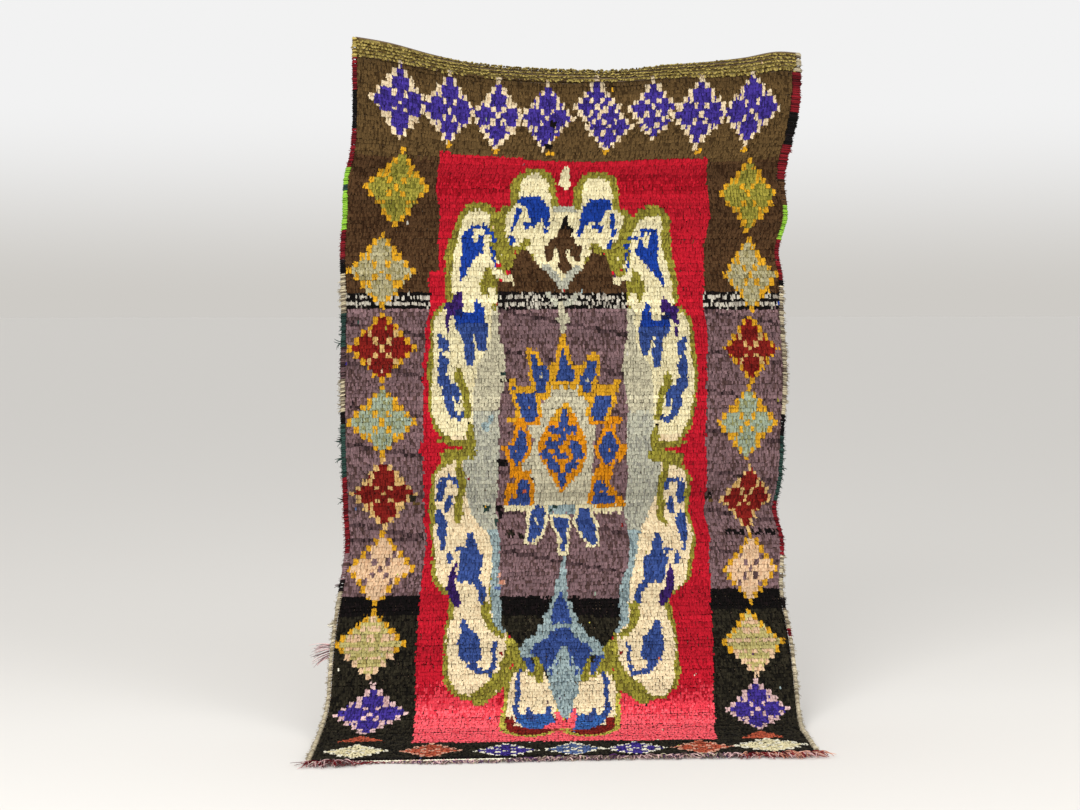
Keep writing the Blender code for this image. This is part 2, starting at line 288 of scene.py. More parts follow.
# The dyed yarns: colour, the second colour spun or tied in with it, share of the second, unevenness
yarns = {
    "brown": ("#553c25", "#382312", 0.30, 0.08),
    "oliveBrown": ("#604a2b", "#3e2d17", 0.25, 0.08),
    "oliveGold": ("#b8a45a", "#6a5628", 0.40, 0.12),
    "black": ("#0a0807", "#181011", 0.25, 0.15),
    "oliveBlack": ("#2b271c", "#0f0c08", 0.40, 0.25),
    "mauve": ("#82676a", "#503b38", 0.34, 0.14),
    "mauveDark": ("#5d4749", "#2b1f20", 0.40, 0.15),
    "white": ("#c9c2b2", "#948c80", 0.30, 0.07),
    "crimson": ("#c01a2c", "#a01020", 0.22, 0.07),
    "crimsonDark": ("#a30f20", "#850a16", 0.25, 0.07),
    "rose": ("#ea4452", "#d33342", 0.30, 0.07),
    # coral is a real dye of the lower end; its colour is also made brighter, painted light for the slope
    # there that catches more light
    "coral": ("#ff6670", "#f04c58", 0.25, 0.06),
    "cream": ("#efe4b8", "#d4c69a", 0.28, 0.06),
    "creamWarm": ("#f4e1b8", "#dcc49c", 0.28, 0.06),
    "olive": ("#9a9236", "#6e6426", 0.36, 0.10),
    "yellowGreen": ("#c6bb4c", "#8d8433", 0.25, 0.08),
    "cobalt": ("#1b3f9c", "#13307a", 0.28, 0.10),
    "steel": ("#3b5290", "#283b70", 0.36, 0.10),
    "brightBlue": ("#3b68ac", "#2c5090", 0.30, 0.10),
    "navy": ("#1b2558", "#121a40", 0.30, 0.10),
    "purple": ("#443490", "#2c2162", 0.28, 0.10),
    "purpleDark": ("#3c2266", "#281645", 0.30, 0.10),
    "plum": ("#54305e", "#331a3c", 0.35, 0.12),
    "mustard": ("#dba324", "#bd8a22", 0.25, 0.08),
    "orange": ("#dc8e12", "#b87410", 0.25, 0.08),
    "greyOlive": ("#b3ab86", "#8f8558", 0.30, 0.08),
    "blueGrey": ("#9aa894", "#8a8a5c", 0.30, 0.08),
    "leafGreen": ("#a0963c", "#6f6c26", 0.40, 0.10),
    "brick": ("#86201a", "#5e120e", 0.28, 0.10),
    "sand": ("#dcb878", "#c29a58", 0.30, 0.08),
    "peach": ("#e4c29c", "#cfa680", 0.25, 0.06),
    "beige": ("#e6d2ae", "#ccb28c", 0.25, 0.06),
    "pink": ("#dfbcb8", "#c39c9a", 0.25, 0.08),
    "paleOlive": ("#c2b676", "#a89a5a", 0.30, 0.08),
    "rust": ("#c05c40", "#96402c", 0.30, 0.10),
    "rustPale": ("#dca58c", "#c08068", 0.25, 0.08),
    "blueMid": ("#5a6f9c", "#3e5080", 0.30, 0.10),
    "paleGrey": ("#bcbba6", "#97968a", 0.30, 0.08),
    "paleWarm": ("#cdc6a8", "#a9a28a", 0.30, 0.07),
    "paleBlue": ("#9fb1b0", "#6f8084", 0.32, 0.08),
    "teal": ("#2e463f", "#1a2c28", 0.30, 0.12),
    "green": ("#8fbf3e", "#6f9c2c", 0.25, 0.08),
    "ecru": ("#b9ad90", "#64584a", 0.42, 0.12),
    "ivory": ("#f2ecd6", "#d9d2ba", 0.25, 0.05),
    "wornEcru": ("#b4a98f", "#80745e", 0.34, 0.16),
    "darkRed": ("#7c1a22", "#4c0e14", 0.35, 0.12),
}
yarnNames = list(yarns)
yarnNumber = {name: i for i, name in enumerate(yarnNames)}
firstColors = np.array([linearColor(yarns[name][0]) for name in yarnNames])
secondColors = np.array([linearColor(yarns[name][1]) for name in yarnNames])
secondShares = np.array([yarns[name][2] for name in yarnNames])
unevenness = np.array([yarns[name][3] for name in yarnNames])

# The pattern's sizes are in millimetres: x across from the middle, t up from the lower end
# Crosswise bands of the ground, from the top down: lower limit, yarn
groundBands = (
    (2116, "oliveGold"), (1865, "oliveBrown"), (1500, "brown"), (1454, "black"), (692, "mauve"),
    (636, "black"), (-50, "oliveBlack"),
)
# Share of white ends in the dark rows above the mauve ground: t of the row, share
whiteRows = ((1495, 0.06), (1486, 0.75), (1477, 0.06), (1468, 0.85), (1459, 0.15))

# The red field's side edges: t, left edge, right edge
redEdges = (
    (140, -364, 373), (200, -364, 375), (300, -368, 379), (400, -378, 379), (500, -382, 385),
    (600, -382, 393), (700, -382, 400), (800, -384, 389), (900, -382, 396), (1000, -383, 389),
    (1100, -381, 382), (1300, -382, 379), (1400, -375, 386), (1470, -360, 375), (1548, -364, 380),
    (1556, -334, 386), (1600, -336, 389), (1700, -343, 386), (1800, -354, 382), (1890, -362, 374),
)

# Round lobes of the wreath's left half, each a chain of x, t, half width
wreathLobes = (
    ((-94, 1785, 60), (-88, 1690, 66), (-80, 1640, 58)),
    ((-240, 1683, 56), (-247, 1600, 70), (-252, 1500, 70)),
    ((-160, 1705, 26), (-160, 1600, 30)),
    ((-283, 1400, 80), (-286, 1290, 84), (-283, 1180, 82)),
    ((-283, 985, 80), (-288, 870, 83), (-282, 762, 80)),
    ((-262, 705, 40), (-250, 640, 56)),
    ((-228, 590, 83), (-228, 460, 84)),
    ((-84, 420, 72), (-82, 284, 76)),
    ((-225, 1480, 40), (-225, 640, 40)),
    ((-8, 1680, 48), (-8, 1600, 62)),
)

# The pale side band's outer edge and the inner window's edge: t, band edge, window edge
innerEdges = (
    (400, -60, -40), (490, -100, -100), (505, -124, -124), (560, -150, -140), (600, -187, -165),
    (650, -190, -166), (700, -195, -168), (750, -200, -180), (800, -205, -185), (850, -212, -186),
    (900, -250, -186), (950, -268, -185), (1000, -272, -185), (1050, -276, -180), (1100, -250, -180),
    (1200, -250, -181), (1250, -246, -166), (1300, -240, -165), (1340, -212, -166), (1380, -202, -180),
    (1455, -200, -181), (1524, -190, -181), (1530, -150, -150), (1580, -142, -142), (1615, -110, -110),
)

# Drawn strokes of the wreath's left half: yarn, then x, t and half width along the stroke
wreathStrokes = (
    # top lobe
    ("cream", (-132, 1715, 22), (-126, 1645, 26)),
    ("olive", (-150, 1616, 9), (-122, 1612, 7), (-100, 1626, 12)),
    ("cobalt", (-134, 1716, 7), (-140, 1684, 7)),
    ("cobalt", (-58, 1700, 8), (-54, 1664, 6)),
    ("cobalt", (-110, 1676, 7), (-88, 1678, 7)),
    ("cobalt", (-146, 1668, 6), (-146, 1662, 6)),
    ("cobalt", (-143, 1640, 6), (-141, 1627, 6)),
    ("cream", (-121, 1716, 4), (-121, 1690, 4)),
    # upper side lobe
    ("olive", (-196, 1702, 11), (-178, 1690, 12), (-170, 1655, 9), (-163, 1625, 10), (-150, 1598, 14),
     (-150, 1572, 12), (-165, 1556, 11), (-205, 1548, 13), (-219, 1522, 13), (-214, 1494, 8)),
    ("cream", (-188, 1578, 10), (-190, 1548, 8), (-158, 1536, 9), (-150, 1532, 9)),
    ("cream", (-196, 1500, 10), (-190, 1478, 9)),
    ("cobalt", (-254, 1668, 7), (-222, 1670, 8)),
    ("cobalt", (-256, 1655, 10), (-262, 1632, 14), (-250, 1605, 25), (-268, 1562, 11), (-281, 1525, 3)),
    ("cobalt", (-226, 1640, 6), (-224, 1608, 10)),
    ("cobalt", (-214, 1655, 6), (-198, 1653, 6)),
    ("cobalt", (-192, 1635, 6), (-187, 1628, 6)),
    ("cobalt", (-198, 1616, 3), (-197, 1608, 3)),
    ("cobalt", (-190, 1602, 6), (-184, 1600, 5)),
    ("cobalt", (-191, 1588, 4), (-183, 1563, 3)),
    # middle side lobe
    ("purpleDark", (-284, 1486, 9), (-288, 1468, 16), (-318, 1456, 9)),
    ("purpleDark", (-296, 1452, 13), (-316, 1430, 8)),
    ("purpleDark", (-318, 1428, 5), (-315, 1388, 3)),
    ("cobalt", (-235, 1470, 6), (-232, 1445, 15)),
    ("cobalt", (-286, 1426, 13), (-230, 1424, 12)),
    ("navy", (-292, 1443, 8), (-284, 1440, 8)),
    ("steel", (-284, 1402, 12), (-226, 1398, 18)),
    ("steel", (-268, 1390, 12), (-258, 1345, 14), (-258, 1312, 10)),
    ("steel", (-228, 1395, 20), (-226, 1345, 10)),
    ("steel", (-336, 1380, 6), (-326, 1358, 13), (-322, 1345, 7)),
    ("steel", (-336, 1332, 7), (-328, 1312, 15), (-330, 1285, 12)),
    ("steel", (-328, 1265, 16), (-316, 1235, 13), (-314, 1205, 11), (-306, 1180, 9), (-290, 1163, 8),
     (-278, 1166, 7), (-274, 1180, 4)),
    ("steel", (-302, 1250, 7), (-292, 1230, 10), (-290, 1208, 6)),
    ("olive", (-288, 1278, 11), (-286, 1262, 13), (-272, 1240, 9), (-268, 1205, 10), (-262, 1170, 10)),
    ("black", (-262, 1152, 4), (-260, 1148, 4)),
    ("olive", (-256, 1138, 9), (-256, 1110, 12)),
    # waist
    ("olive", (-334, 1100, 11), (-256, 1096, 14)),
    ("olive", (-330, 1064, 10), (-256, 1070, 16)),
    ("crimson", (-368, 1083, 24), (-344, 1083, 16), (-312, 1083, 6)),
    # lower side lobe
    ("olive", (-290, 1050, 8), (-288, 1030, 10), (-282, 1000, 13), (-280, 965, 9), (-288, 935, 11),
     (-287, 905, 12), (-293, 888, 8)),
    ("steel", (-322, 1002, 6), (-298, 1002, 6)),
    ("steel", (-298, 995, 6), (-294, 985, 6)),
    ("steel", (-334, 990, 11), (-338, 960, 10), (-342, 945, 10)),
    ("steel", (-312, 955, 5), (-312, 935, 10), (-318, 922, 9)),
    ("steel", (-343, 905, 12), (-337, 885, 14), (-340, 850, 13)),
    ("steel", (-338, 830, 6), (-337, 812, 6)),
    ("steel", (-320, 800, 5), (-318, 784, 9)),
    ("steel", (-262, 852, 6), (-264, 835, 12), (-260, 800, 20)),
    ("steel", (-298, 817, 6), (-286, 812, 8)),
    ("steel", (-275, 785, 16), (-273, 735, 16)),
    ("steel", (-245, 785, 20), (-250, 735, 18)),
    ("steel", (-232, 715, 10), (-218, 700, 9), (-216, 672, 9)),
    ("purpleDark", (-300, 768, 4), (-304, 740, 11), (-304, 705, 12), (-288, 680, 14), (-282, 662, 9)),
    # corner lobe
    ("olive", (-208, 655, 12), (-205, 625, 13), (-196, 600, 10), (-180, 580, 9), (-165, 570, 9)),
    ("yellowGreen", (-140, 542, 14), (-136, 515, 14)),
    ("olive", (-152, 480, 15), (-140, 496, 14), (-105, 488, 12)),
    ("olive", (-158, 468, 8), (-170, 440, 18), (-190, 420, 18), (-216, 385, 22)),
    ("brick", (-163, 520, 5), (-162, 516, 4)),
    ("steel", (-262, 606, 8), (-258, 585, 13), (-248, 555, 28)),
    ("steel", (-250, 552, 27), (-240, 515, 29)),
    ("steel", (-240, 482, 10), (-228, 468, 9), (-190, 457, 6)),
    ("steel", (-186, 470, 7), (-180, 500, 4), (-182, 530, 7), (-178, 548, 3)),
    ("olive", (-130, 532, 13), (-118, 500, 20), (-112, 470, 16)),
    # bottom lobe
    ("creamWarm", (-72, 452, 16), (-52, 415, 22), (-36, 366, 18)),
    ("steel", (-114, 460, 5), (-122, 430, 7), (-120, 400, 6), (-122, 370, 5), (-126, 350, 8), (-116, 322, 8)),
    ("steel", (-92, 352, 6), (-86, 330, 9), (-80, 312, 14)),
    ("steel", (-40, 352, 6), (-42, 322, 9)),
)

# Broad shapes of the wreath's left half, from the top down: yarn, then t, left edge, right edge
wreathShapes = (
    ("cobalt", (1758, -122, -78), (1744, -136, -62), (1720, -140, -50), (1698, -132, -50), (1688, -118, -54)),
    ("brightBlue", (330, -104, -50), (316, -120, -28), (292, -116, -22), (274, -100, -26), (262, -84, -40)),
)

# Strokes on the middle line, which aren't mirrored
middleStrokes = (
    ("black", (-9, 1697, 4), (-6, 1678, 10), (4, 1662, 13)),
    ("brown", (-4, 1655, 18), (-3, 1625, 42)),
    ("brown", (-40, 1612, 12), (-40, 1592, 10)),
    ("brown", (38, 1612, 12), (38, 1594, 10)),
    ("brown", (-2, 1610, 16), (0, 1566, 17)),
    ("cream", (-20, 1606, 5), (-19, 1588, 6)),
    ("cream", (16, 1608, 4), (16, 1592, 6)),
    ("paleGrey", (-52, 1566, 9), (-30, 1544, 12), (-8, 1512, 8)),
    ("paleGrey", (36, 1566, 9), (16, 1544, 12), (-8, 1512, 8)),
    ("paleGrey", (-32, 1720, 10), (8, 1722, 10)),
    ("cream", (-14, 1842, 10), (-10, 1808, 15), (-5, 1794, 12)),
    ("paleGrey", (-48, 1495, 8), (-38, 1478, 9), (-20, 1466, 9)),
    ("paleGrey", (30, 1495, 8), (18, 1476, 9), (-2, 1466, 8)),
    ("paleWarm", (-12, 1462, 8), (-10, 1445, 9), (-8, 1430, 19)),
    ("paleWarm", (-9, 1416, 10), (-8, 1392, 5)),
    # stem under the star and the hanging palmette
    ("paleBlue", (-8, 790, 5), (-8, 740, 7)),
)

# The hanging palmette and its stem, from the top down: yarn, then t, left edge, right edge
palmetteShapes = (
    ("paleBlue", (745, -16, 2), (724, -16, 2), (722, -24, 8), (690, -26, 10), (664, -28, 12), (660, -38, 22),
     (634, -40, 24), (630, -52, 34), (600, -56, 38), (596, -66, 48),
     (572, -76, 56), (552, -102, 84), (530, -116, 100), (506, -116, 100)),
    ("steel", (694, -10, -2), (672, -14, -1), (662, -22, 10), (640, -28, 14), (618, -36, 18), (601, -36, 22)),
    ("steel", (588, -18, 12), (566, -44, 28), (548, -60, 44), (532, -84, 68), (514, -88, 74), (498, -64, 56),
     (476, -56, 50), (452, -50, 44)),
    ("paleBlue", (532, -8, 2), (508, -20, 14), (488, -30, 24), (462, -48, 38), (430, -44, 38), (392, -34, 30),
     (352, -20, 18), (306, -6, 8)),
    ("steel", (470, -42, -34), (448, -40, -32)),
    ("steel", (466, 22, 32), (446, 24, 34)),
    ("steel", (500, -20, -14), (478, -24, -18)),
    ("steel", (500, 10, 16), (478, 14, 20)),
)

# Horns and leaves beside the palmette, mirrored like the wreath
palmetteStrokes = (
    ("steel", (-108, 512, 8), (-90, 484, 9), (-88, 462, 6)),
    ("olive", (-70, 502, 12), (-69, 478, 12), (-66, 442, 11)),
    ("olive", (-92, 455, 6), (-86, 452, 6)),
)

# The star's blue petals, from the top down as t, left edge, right edge; each gets a yellow outline
starPetals = (
    ((1346, -12, -7), (1312, -21, 2), (1297, -23, 10), (1290, -27, 18), (1258, -27, 18)),
    ((1332, -97, -88), (1302, -93, -74), (1296, -92, -46), (1262, -90, -46), (1256, -85, -56),
     (1228, -85, -56)),
    ((1318, 64, 76), (1306, 50, 76), (1282, 46, 76), (1270, 32, 70), (1257, 32, 70), (1250, 40, 65),
     (1230, 42, 65)),
    ((1226, -135, -84), (1202, -135, -84), (1190, -125, -76), (1170, -125, -76), (1156, -110, -82)),
    ((1226, 75, 120), (1202, 75, 120), (1190, 65, 110), (1170, 66, 108), (1156, 80, 100)),
    ((1132, -128, -118), (1112, -130, -106), (1095, -136, -104), (1084, -154, -104), (1064, -152, -110),
     (1048, -144, -120), (1037, -138, -132)),
    ((1132, 110, 120), (1112, 100, 130), (1095, 96, 134), (1082, 84, 146), (1062, 96, 130), (1048, 102, 122),
     (1037, 106, 116)),
    ((995, -124, -102), (978, -130, -96), (954, -130, -96), (948, -152, -92), (932, -152, -92)),
    ((995, 82, 104), (978, 80, 118), (954, 80, 118), (946, 76, 144), (930, 76, 144)),
)
# Yellow strokes of the star: its tips, and the bars between the petals
starStrokes = (
    ((-10, 1386, 5), (-10, 1366, 9)), ((-104, 1342, 8), (-98, 1336, 10)), ((72, 1334, 8), (68, 1328, 10)),
    ((-148, 1262, 7), (-144, 1240, 10), (-80, 1237, 8)), ((134, 1262, 7), (130, 1240, 10), (72, 1237, 8)),
    ((-84, 1214, 7), (-58, 1214, 7)), ((56, 1216, 7), (80, 1214, 7)), ((-50, 1248, 9), (34, 1248, 9)),
    ((-38, 1300, 9), (-38, 1258, 9)), ((24, 1300, 8), (26, 1262, 8)),
    ((-152, 1156, 7), (-78, 1150, 8)), ((68, 1152, 8), (142, 1158, 7)),
    ((-168, 1084, 6), (-152, 1056, 8)), ((160, 1084, 6), (146, 1056, 8)),
    ((-138, 1014, 12), (-106, 1014, 12)), ((84, 1012, 12), (116, 1012, 12)),
    ((-148, 980, 9), (-152, 958, 9)), ((114, 990, 7), (164, 928, 8)), ((-84, 930, 7), (-58, 928, 6)),
)
starGround = (
    (1240, -50, 40), (1214, -56, 52), (1190, -70, 64), (1162, -96, 76), (1140, -104, 80), (1100, -84, 76),
    (1052, -124, 72), (1030, -124, 70), (1000, -86, 80), (938, -90, 88), (924, -92, 90),
)
starHeart = (
    (1204, -6, 5), (1186, -20, 12), (1156, -46, 32), (1130, -56, 44), (1104, -72, 54), (1062, -76, 58),
    (1034, -56, 46), (1018, -46, 38), (986, -24, 8), (958, -14, -4),
)
heartDabs = (
    ((-6, 1178, 6), (-6, 1150, 14)), ((-34, 1132, 12), (-22, 1126, 11)), ((20, 1135, 11), (8, 1130, 11)),
    ((-10, 1102, 9), (-8, 1118, 10)), ((-46, 1094, 11), (-30, 1090, 12)), ((-58, 1066, 12), (-46, 1062, 12)),
    ((18, 1088, 12), (32, 1082, 12)), ((42, 1066, 9), (30, 1062, 11)), ((-22, 1068, 11), (-6, 1062, 11)),
    ((-38, 1038, 12), (-26, 1028, 12)), ((20, 1038, 12), (8, 1028, 12)), ((-10, 1008, 11), (-10, 980, 6)),
)
starDots = (
    (-11, 1303, 5, "mustard"), (-68, 1274, 6, "paleWarm"), (54, 1262, 5, "paleWarm"),
    (-96, 1184, 5, "orange"), (88, 1184, 5, "orange"), (-134, 1078, 5, "orange"),
    (118, 1076, 5, "orange"), (-112, 966, 4, "rust"), (-142, 1238, 4, "steel"), (100, 966, 4, "orange"),
)

# Leaves under the star, which get a pale outline
underPetals = (
    ((926, -80, -52), (905, -92, -50), (885, -96, -54), (865, -100, -62), (848, -108, -74), (832, -110, -92)),
    ((895, -30, 10), (870, -28, 8), (855, -20, -2), (800, -18, -6)),
    ((926, 45, 74), (905, 42, 76), (885, 30, 80), (865, 36, 82), (845, 44, 80), (825, 62, 80)),
)

# Diamonds built of blocks: outline, fill, lattice, steps, then x, t, block width and height of each.
# Two yarns joined by + are the upper and the lower outline, or a fill and its streaks
diamonds = (
    ("beige", "purple", "beige", 5, (-475, 2016, 14.6, 20.0), (-345, 2015, 13.8, 20.0),
     (-216, 2009, 13.6, 20.0), (-88, 2010, 13.8, 20.0)),
    ("beige", "purple", "purple", 3, (204, 1996, 15.0, 18.4)),
    ("beige", "purple", "beige", 4, (196, 2040, 15.6, 18.6), (44, 2050, 14.6, 18.6),
     (82, 1986, 15.2, 18.6)),
    ("beige", "purple", "beige", 5, (328, 2014, 14.8, 20.2), (468, 2015, 15.0, 20.4)),
    ("mustard", "leafGreen", "mustard", 5, (-459, 1777, 16.6, 20.0), (496, 1766, 14.6, 20.0)),
    ("mustard", "greyOlive", "mustard", 5, (-490, 1552, 17.0, 18.8), (512, 1543, 14.0, 18.6)),
    ("mustard", "brick", "sand", 5, (-490, 1352, 17.0, 17.6), (503, 1345, 14.4, 17.0)),
    ("mustard", "blueGrey", "mustard", 5, (-490, 1156, 17.0, 17.4), (495, 1144, 15.4, 19.0)),
    ("sand", "brick", "sand", 5, (-490, 965, 17.0, 17.2), (507, 943, 13.2, 17.0)),
    ("mustard", "peach", "mauve", 5, (-500, 763, 17.0, 19.0), (507, 745, 14.2, 18.4)),
    ("mustard+peach", "paleOlive+peach", "paleOlive", 5, (-500, 551, 17.4, 19.0),
     (494, 535, 15.4, 18.8)),
    ("pink", "purple", "pink", 5, (-484, 343, 17.4, 17.0), (490, 325, 15.4, 18.6)),
    ("ivory", "cream", "ivory", 4, (-493, 86, 17.4, 17.4), (492, 66, 20.4, 17.0)),
    ("rustPale", "rust", "rustPale", 4, (-316, 80, 17.0, 17.4), (327, 62, 17.4, 16.2)),
    ("ivory", "purple", "ivory", 4, (-141, 64, 18.0, 16.8), (170, 62, 17.4, 16.0)),
    ("ivory", "blueMid", "ivory", 4, (21, 66, 16.0, 16.4)),
)

# Yellow knots under the top row, and single odd knots of left-over yarn: x, t, half width, yarn
oddKnots = (
    (-340, 1910, 9, "mustard"), (-214, 1901, 9, "mustard"), (-67, 1893, 9, "mustard"),
    (83, 1905, 9, "mustard"), (340, 1899, 9, "mustard"), (470, 1899, 9, "mustard"),
    (-70, 1990, 12, "black"), (-76, 1918, 11, "black"), (-3, 1768, 3, "peach"),
    (-141, 1523, 4, "cream"), (-176, 1262, 6, "black"), (-162, 1262, 5, "black"),
    (-170, 1278, 6, "teal"), (-180, 1045, 8, "black"), (-165, 1040, 9, "black"),
    (-178, 922, 9, "black"), (-172, 902, 8, "black"), (-186, 885, 6, "teal"), (-212, 922, 11, "teal"),
    (-154, 850, 10, "oliveBlack"), (-126, 848, 8, "oliveBlack"), (-178, 742, 5, "rustPale"),
    (-168, 722, 7, "rustPale"), (-178, 702, 7, "blueMid"), (-215, 1140, 14, "paleBlue"),
    (-200, 1165, 9, "paleBlue"), (-412, 946, 10, "oliveBlack"), (-402, 934, 8, "oliveBrown"),
    (402, 950, 9, "oliveBlack"), (412, 940, 7, "oliveBrown"), (-25, 925, 7, "teal"), (-36, 918, 6, "teal"),
)

# The red field's ends, its darker rows and its fading, in millimetres
redField = {
    "top": 1868,
    "cornerRise": (17, 10),  # left and right, over the middle
    "bottom": 166,
    "bottomFall": 27,  # from left to right
    "darkRows": (1795, 28),  # their middle and half height
    "fadeFrom": 415,
    "fadeLength": 160,
}
# Layers of the wreath's two bottom lobes: yarn, depth inside their edge, from t, to t
bottomLayers = (("yellowGreen", 0, 0, 395), ("brick", 14, 0, 318), ("creamWarm", 12, 312, 395),
                ("creamWarm", 36, 276, 395))
bottomLobes = {"below": 395, "halfWidth": 168}
# Pale bands beside the window: from t, to t, yarn
paleBands = ((575, 862, "paleBlue"), (862, 1180, "paleGrey"), (1180, 1455, "paleWarm"))
# Black and mauve rows of the window at its lower end: from t, to t, yarn
windowBands = ((560, 622, "oliveBlack"), (622, 676, "black"), (676, 700, "mauve"))
# Steps of the window's notched top: distance from the pattern's middle line, t
windowNotch = ((0, 1500), (20, 1528), (45, 1556), (80, 1592), (92, 1618), (150, 1618))
# Pale strokes over the leaves under the star
leafLines = (
    ("cream", (-155, 922, 8), (-88, 918, 8)),
    ("cream", (74, 918, 8), (156, 920, 8)),
)
# Strokes of left-over yarn in the bottom lobes
bottomStrokes = (
    ("coral", (-19, 334, 3), (-10, 296, 9)),
    ("coral", (27, 340, 4), (20, 296, 9)),
    ("rust", (-22, 250, 9), (22, 250, 9)),
    ("yellowGreen", (2, 256, 7), (14, 254, 7)),
)

# Sizes in millimetres and shares of the knots
knots = {
    "acrossPitch": 4.5,  # from one cut end to the next; two of them make a knot
    "rowPitch": 9.3,
    "edgeWobble": 1.1,
    "lay": 7.0,  # the ends lie down the cloth, so a knot's colour shows this far under its root
    "middle": -8,  # the pattern's middle line lies a little left of the cloth's
    "mirrorDrop": 6,  # the right half of the wreath is tied this much lower
    "missedShare": 0.03,
    "outlineDab": (0.40, 0.46),  # half width and height of a dab as shares of its block
    "latticeDab": (0.38, 0.44),
    "seed": 7,
}


# Distance in millimetres from a chain of round dabs, negative inside it
def chainDistance(x, t, chain):
    nearest = np.full(np.shape(x), 1e6)
    for (x0, t0, w0), (x1, t1, w1) in zip(chain[:-1], chain[1:]):
        dx, dt = x1 - x0, t1 - t0
        share = np.clip(((x - x0) * dx + (t - t0) * dt) / (dx * dx + dt * dt), 0, 1)
        away = np.hypot(x - x0 - share * dx, t - t0 - share * dt)
        nearest = np.minimum(nearest, away - (w0 + share * (w1 - w0)))
    return nearest


def mirrored(chain):
    return tuple((2 * knots["middle"] - x, t - knots["mirrorDrop"], w) for x, t, w in chain)


# Both edges at heights t, from rows of t, first edge, second edge that go up
def edgesAt(rows, t):
    heights, first, second = np.array(rows, float).T
    return np.interp(t, heights, first), np.interp(t, heights, second)


# Whether knots lie in a shape given from the top down as t, left edge, right edge, or near it
def inShape(x, t, rows, near=0.0):
    left, right = edgesAt(rows[::-1], t)
    lowest, highest = rows[-1][0], rows[0][0]
    return (x > left - near) & (x < right + near) & (t > lowest - near) & (t < highest + near)


def mirroredShape(rows):
    fold = 2 * knots["middle"]
    return tuple((t - knots["mirrorDrop"], fold - right, fold - left) for t, left, right in rows)


def tie(number, where, name):
    number[where] = yarnNumber[name]


def tieStrokes(number, x, t, strokes, both=False):
    for name, *chain in strokes:
        tie(number, chainDistance(x, t, chain) < 0, name)
        if both:
            tie(number, chainDistance(x, t, mirrored(chain)) < 0, name)


def tieShapes(number, x, t, shapes, both=False):
    for name, *rows in shapes:
        tie(number, inShape(x, t, rows), name)
        if both:
            tie(number, inShape(x, t, mirroredShape(rows)), name)


# The ground's crosswise bands, which also show in the window
def groundYarns(x, t, chance):
    ground = np.zeros(x.shape, int)
    left = np.ones(x.shape, bool)
    for limit, name in groundBands:
        here = left & (t > limit)
        tie(ground, here, name)
        left &= ~here
    # white stripes, which run on in the window as mixed white and black ends
    stripes = (t > 1454) & (t < 1500)
    rows = np.array(whiteRows)
    whiteShare = rows[np.argmin(np.abs(t[..., None] - rows[:, 0]), axis=-1), 1]
    mixed = ((x > -105) & (x < -52)) | ((x > 52) & (x < 168))
    whiteShare = np.where(mixed, 0.5 + 0.3 * (whiteShare - 0.5), whiteShare)
    tie(ground, stripes & (chance.random(x.shape) < whiteShare), "white")
    # darker streaks in the mauve, and a few rows of left-over yarn at its sides
    tie(ground, (t > 700) & (t < 1454) & (np.sin(t / 17 + x / 90) > 0.96), "mauveDark")
    tie(ground, (np.abs(t - 842) < 4) & (x < -400), "mauveDark")
    tie(ground, (np.abs(t - 850) < 8) & (x > 440) & (chance.random(x.shape) < 0.7), "black")
    return ground


# The red field, which runs out into rose and coral towards the lower end
def tieRedField(number, x, t, chance):
    leftSide, rightSide = edgesAt(redEdges, t)
    leftRise, rightRise = redField["cornerRise"]
    top = redField["top"] + leftRise * np.maximum(0, -x / 362) + rightRise * np.maximum(0, x / 375)
    bottom = redField["bottom"] - redField["bottomFall"] * (x + 364) / 740
    red = (x > leftSide) & (x < rightSide) & (t > bottom) & (t < top)
    tie(number, red, "crimson")
    darkMiddle, darkHalf = redField["darkRows"]
    dark = np.abs(t - darkMiddle - x / 40) < darkHalf
    tie(number, red & dark & (chance.random(x.shape) < 0.7), "crimsonDark")
    fade = (redField["fadeFrom"] + 14 * np.sin(x / 60) - t) / redField["fadeLength"]
    fade = fade + chance.uniform(-0.25, 0.25, x.shape)
    tie(number, red & (fade > 0.12), "rose")
    tie(number, red & (fade > 0.52), "coral")


# Wreath: cream lobes with an olive outline; the bottom ones have a thinner one with brick inside
def tieWreath(number, x, t):
    lobes = [chainDistance(x, t, lobe) for lobe in wreathLobes]
    lobes += [chainDistance(x, t, mirrored(lobe)) for lobe in wreathLobes]
    wreath = np.min(lobes, axis=0)
    olive = np.where(t > 1480, 20, 11) + 4 * np.sin(x / 23 + t / 31)
    bottom = (t < bottomLobes["below"]) & (np.abs(x - knots["middle"]) < bottomLobes["halfWidth"])
    tie(number, wreath < 0, "olive")
    tie(number, (wreath < -olive) & ~bottom, "cream")
    tie(number, (wreath < -olive) & ~bottom & (t < 1120), "creamWarm")
    for name, depth, low, high in bottomLayers:
        tie(number, bottom & (wreath < -depth) & (t > low) & (t < high), name)
    tie(number, chainDistance(x, t, ((-8, 1722, 12), (-8, 1690, 45), (-8, 1600, 70))) < 0, "cream")


# Pale bands beside the window, then the window itself with the ground's bands
def tieWindow(number, ground, x, t):
    middle = knots["middle"]
    folded = np.where(x < middle, x, 2 * middle - x)
    bandEdge, windowEdge = edgesAt(innerEdges, t)
    for low, high, name in paleBands:
        tie(number, (folded > bandEdge) & (t > low) & (t < high), name)
    notch = np.interp(np.abs(x - middle), *zip(*windowNotch))
    window = (folded > windowEdge) & (t > 420) & (t < notch)
    number[window] = ground[window]
    for low, high, name in windowBands:
        tie(number, window & (t > low) & (t < high), name)


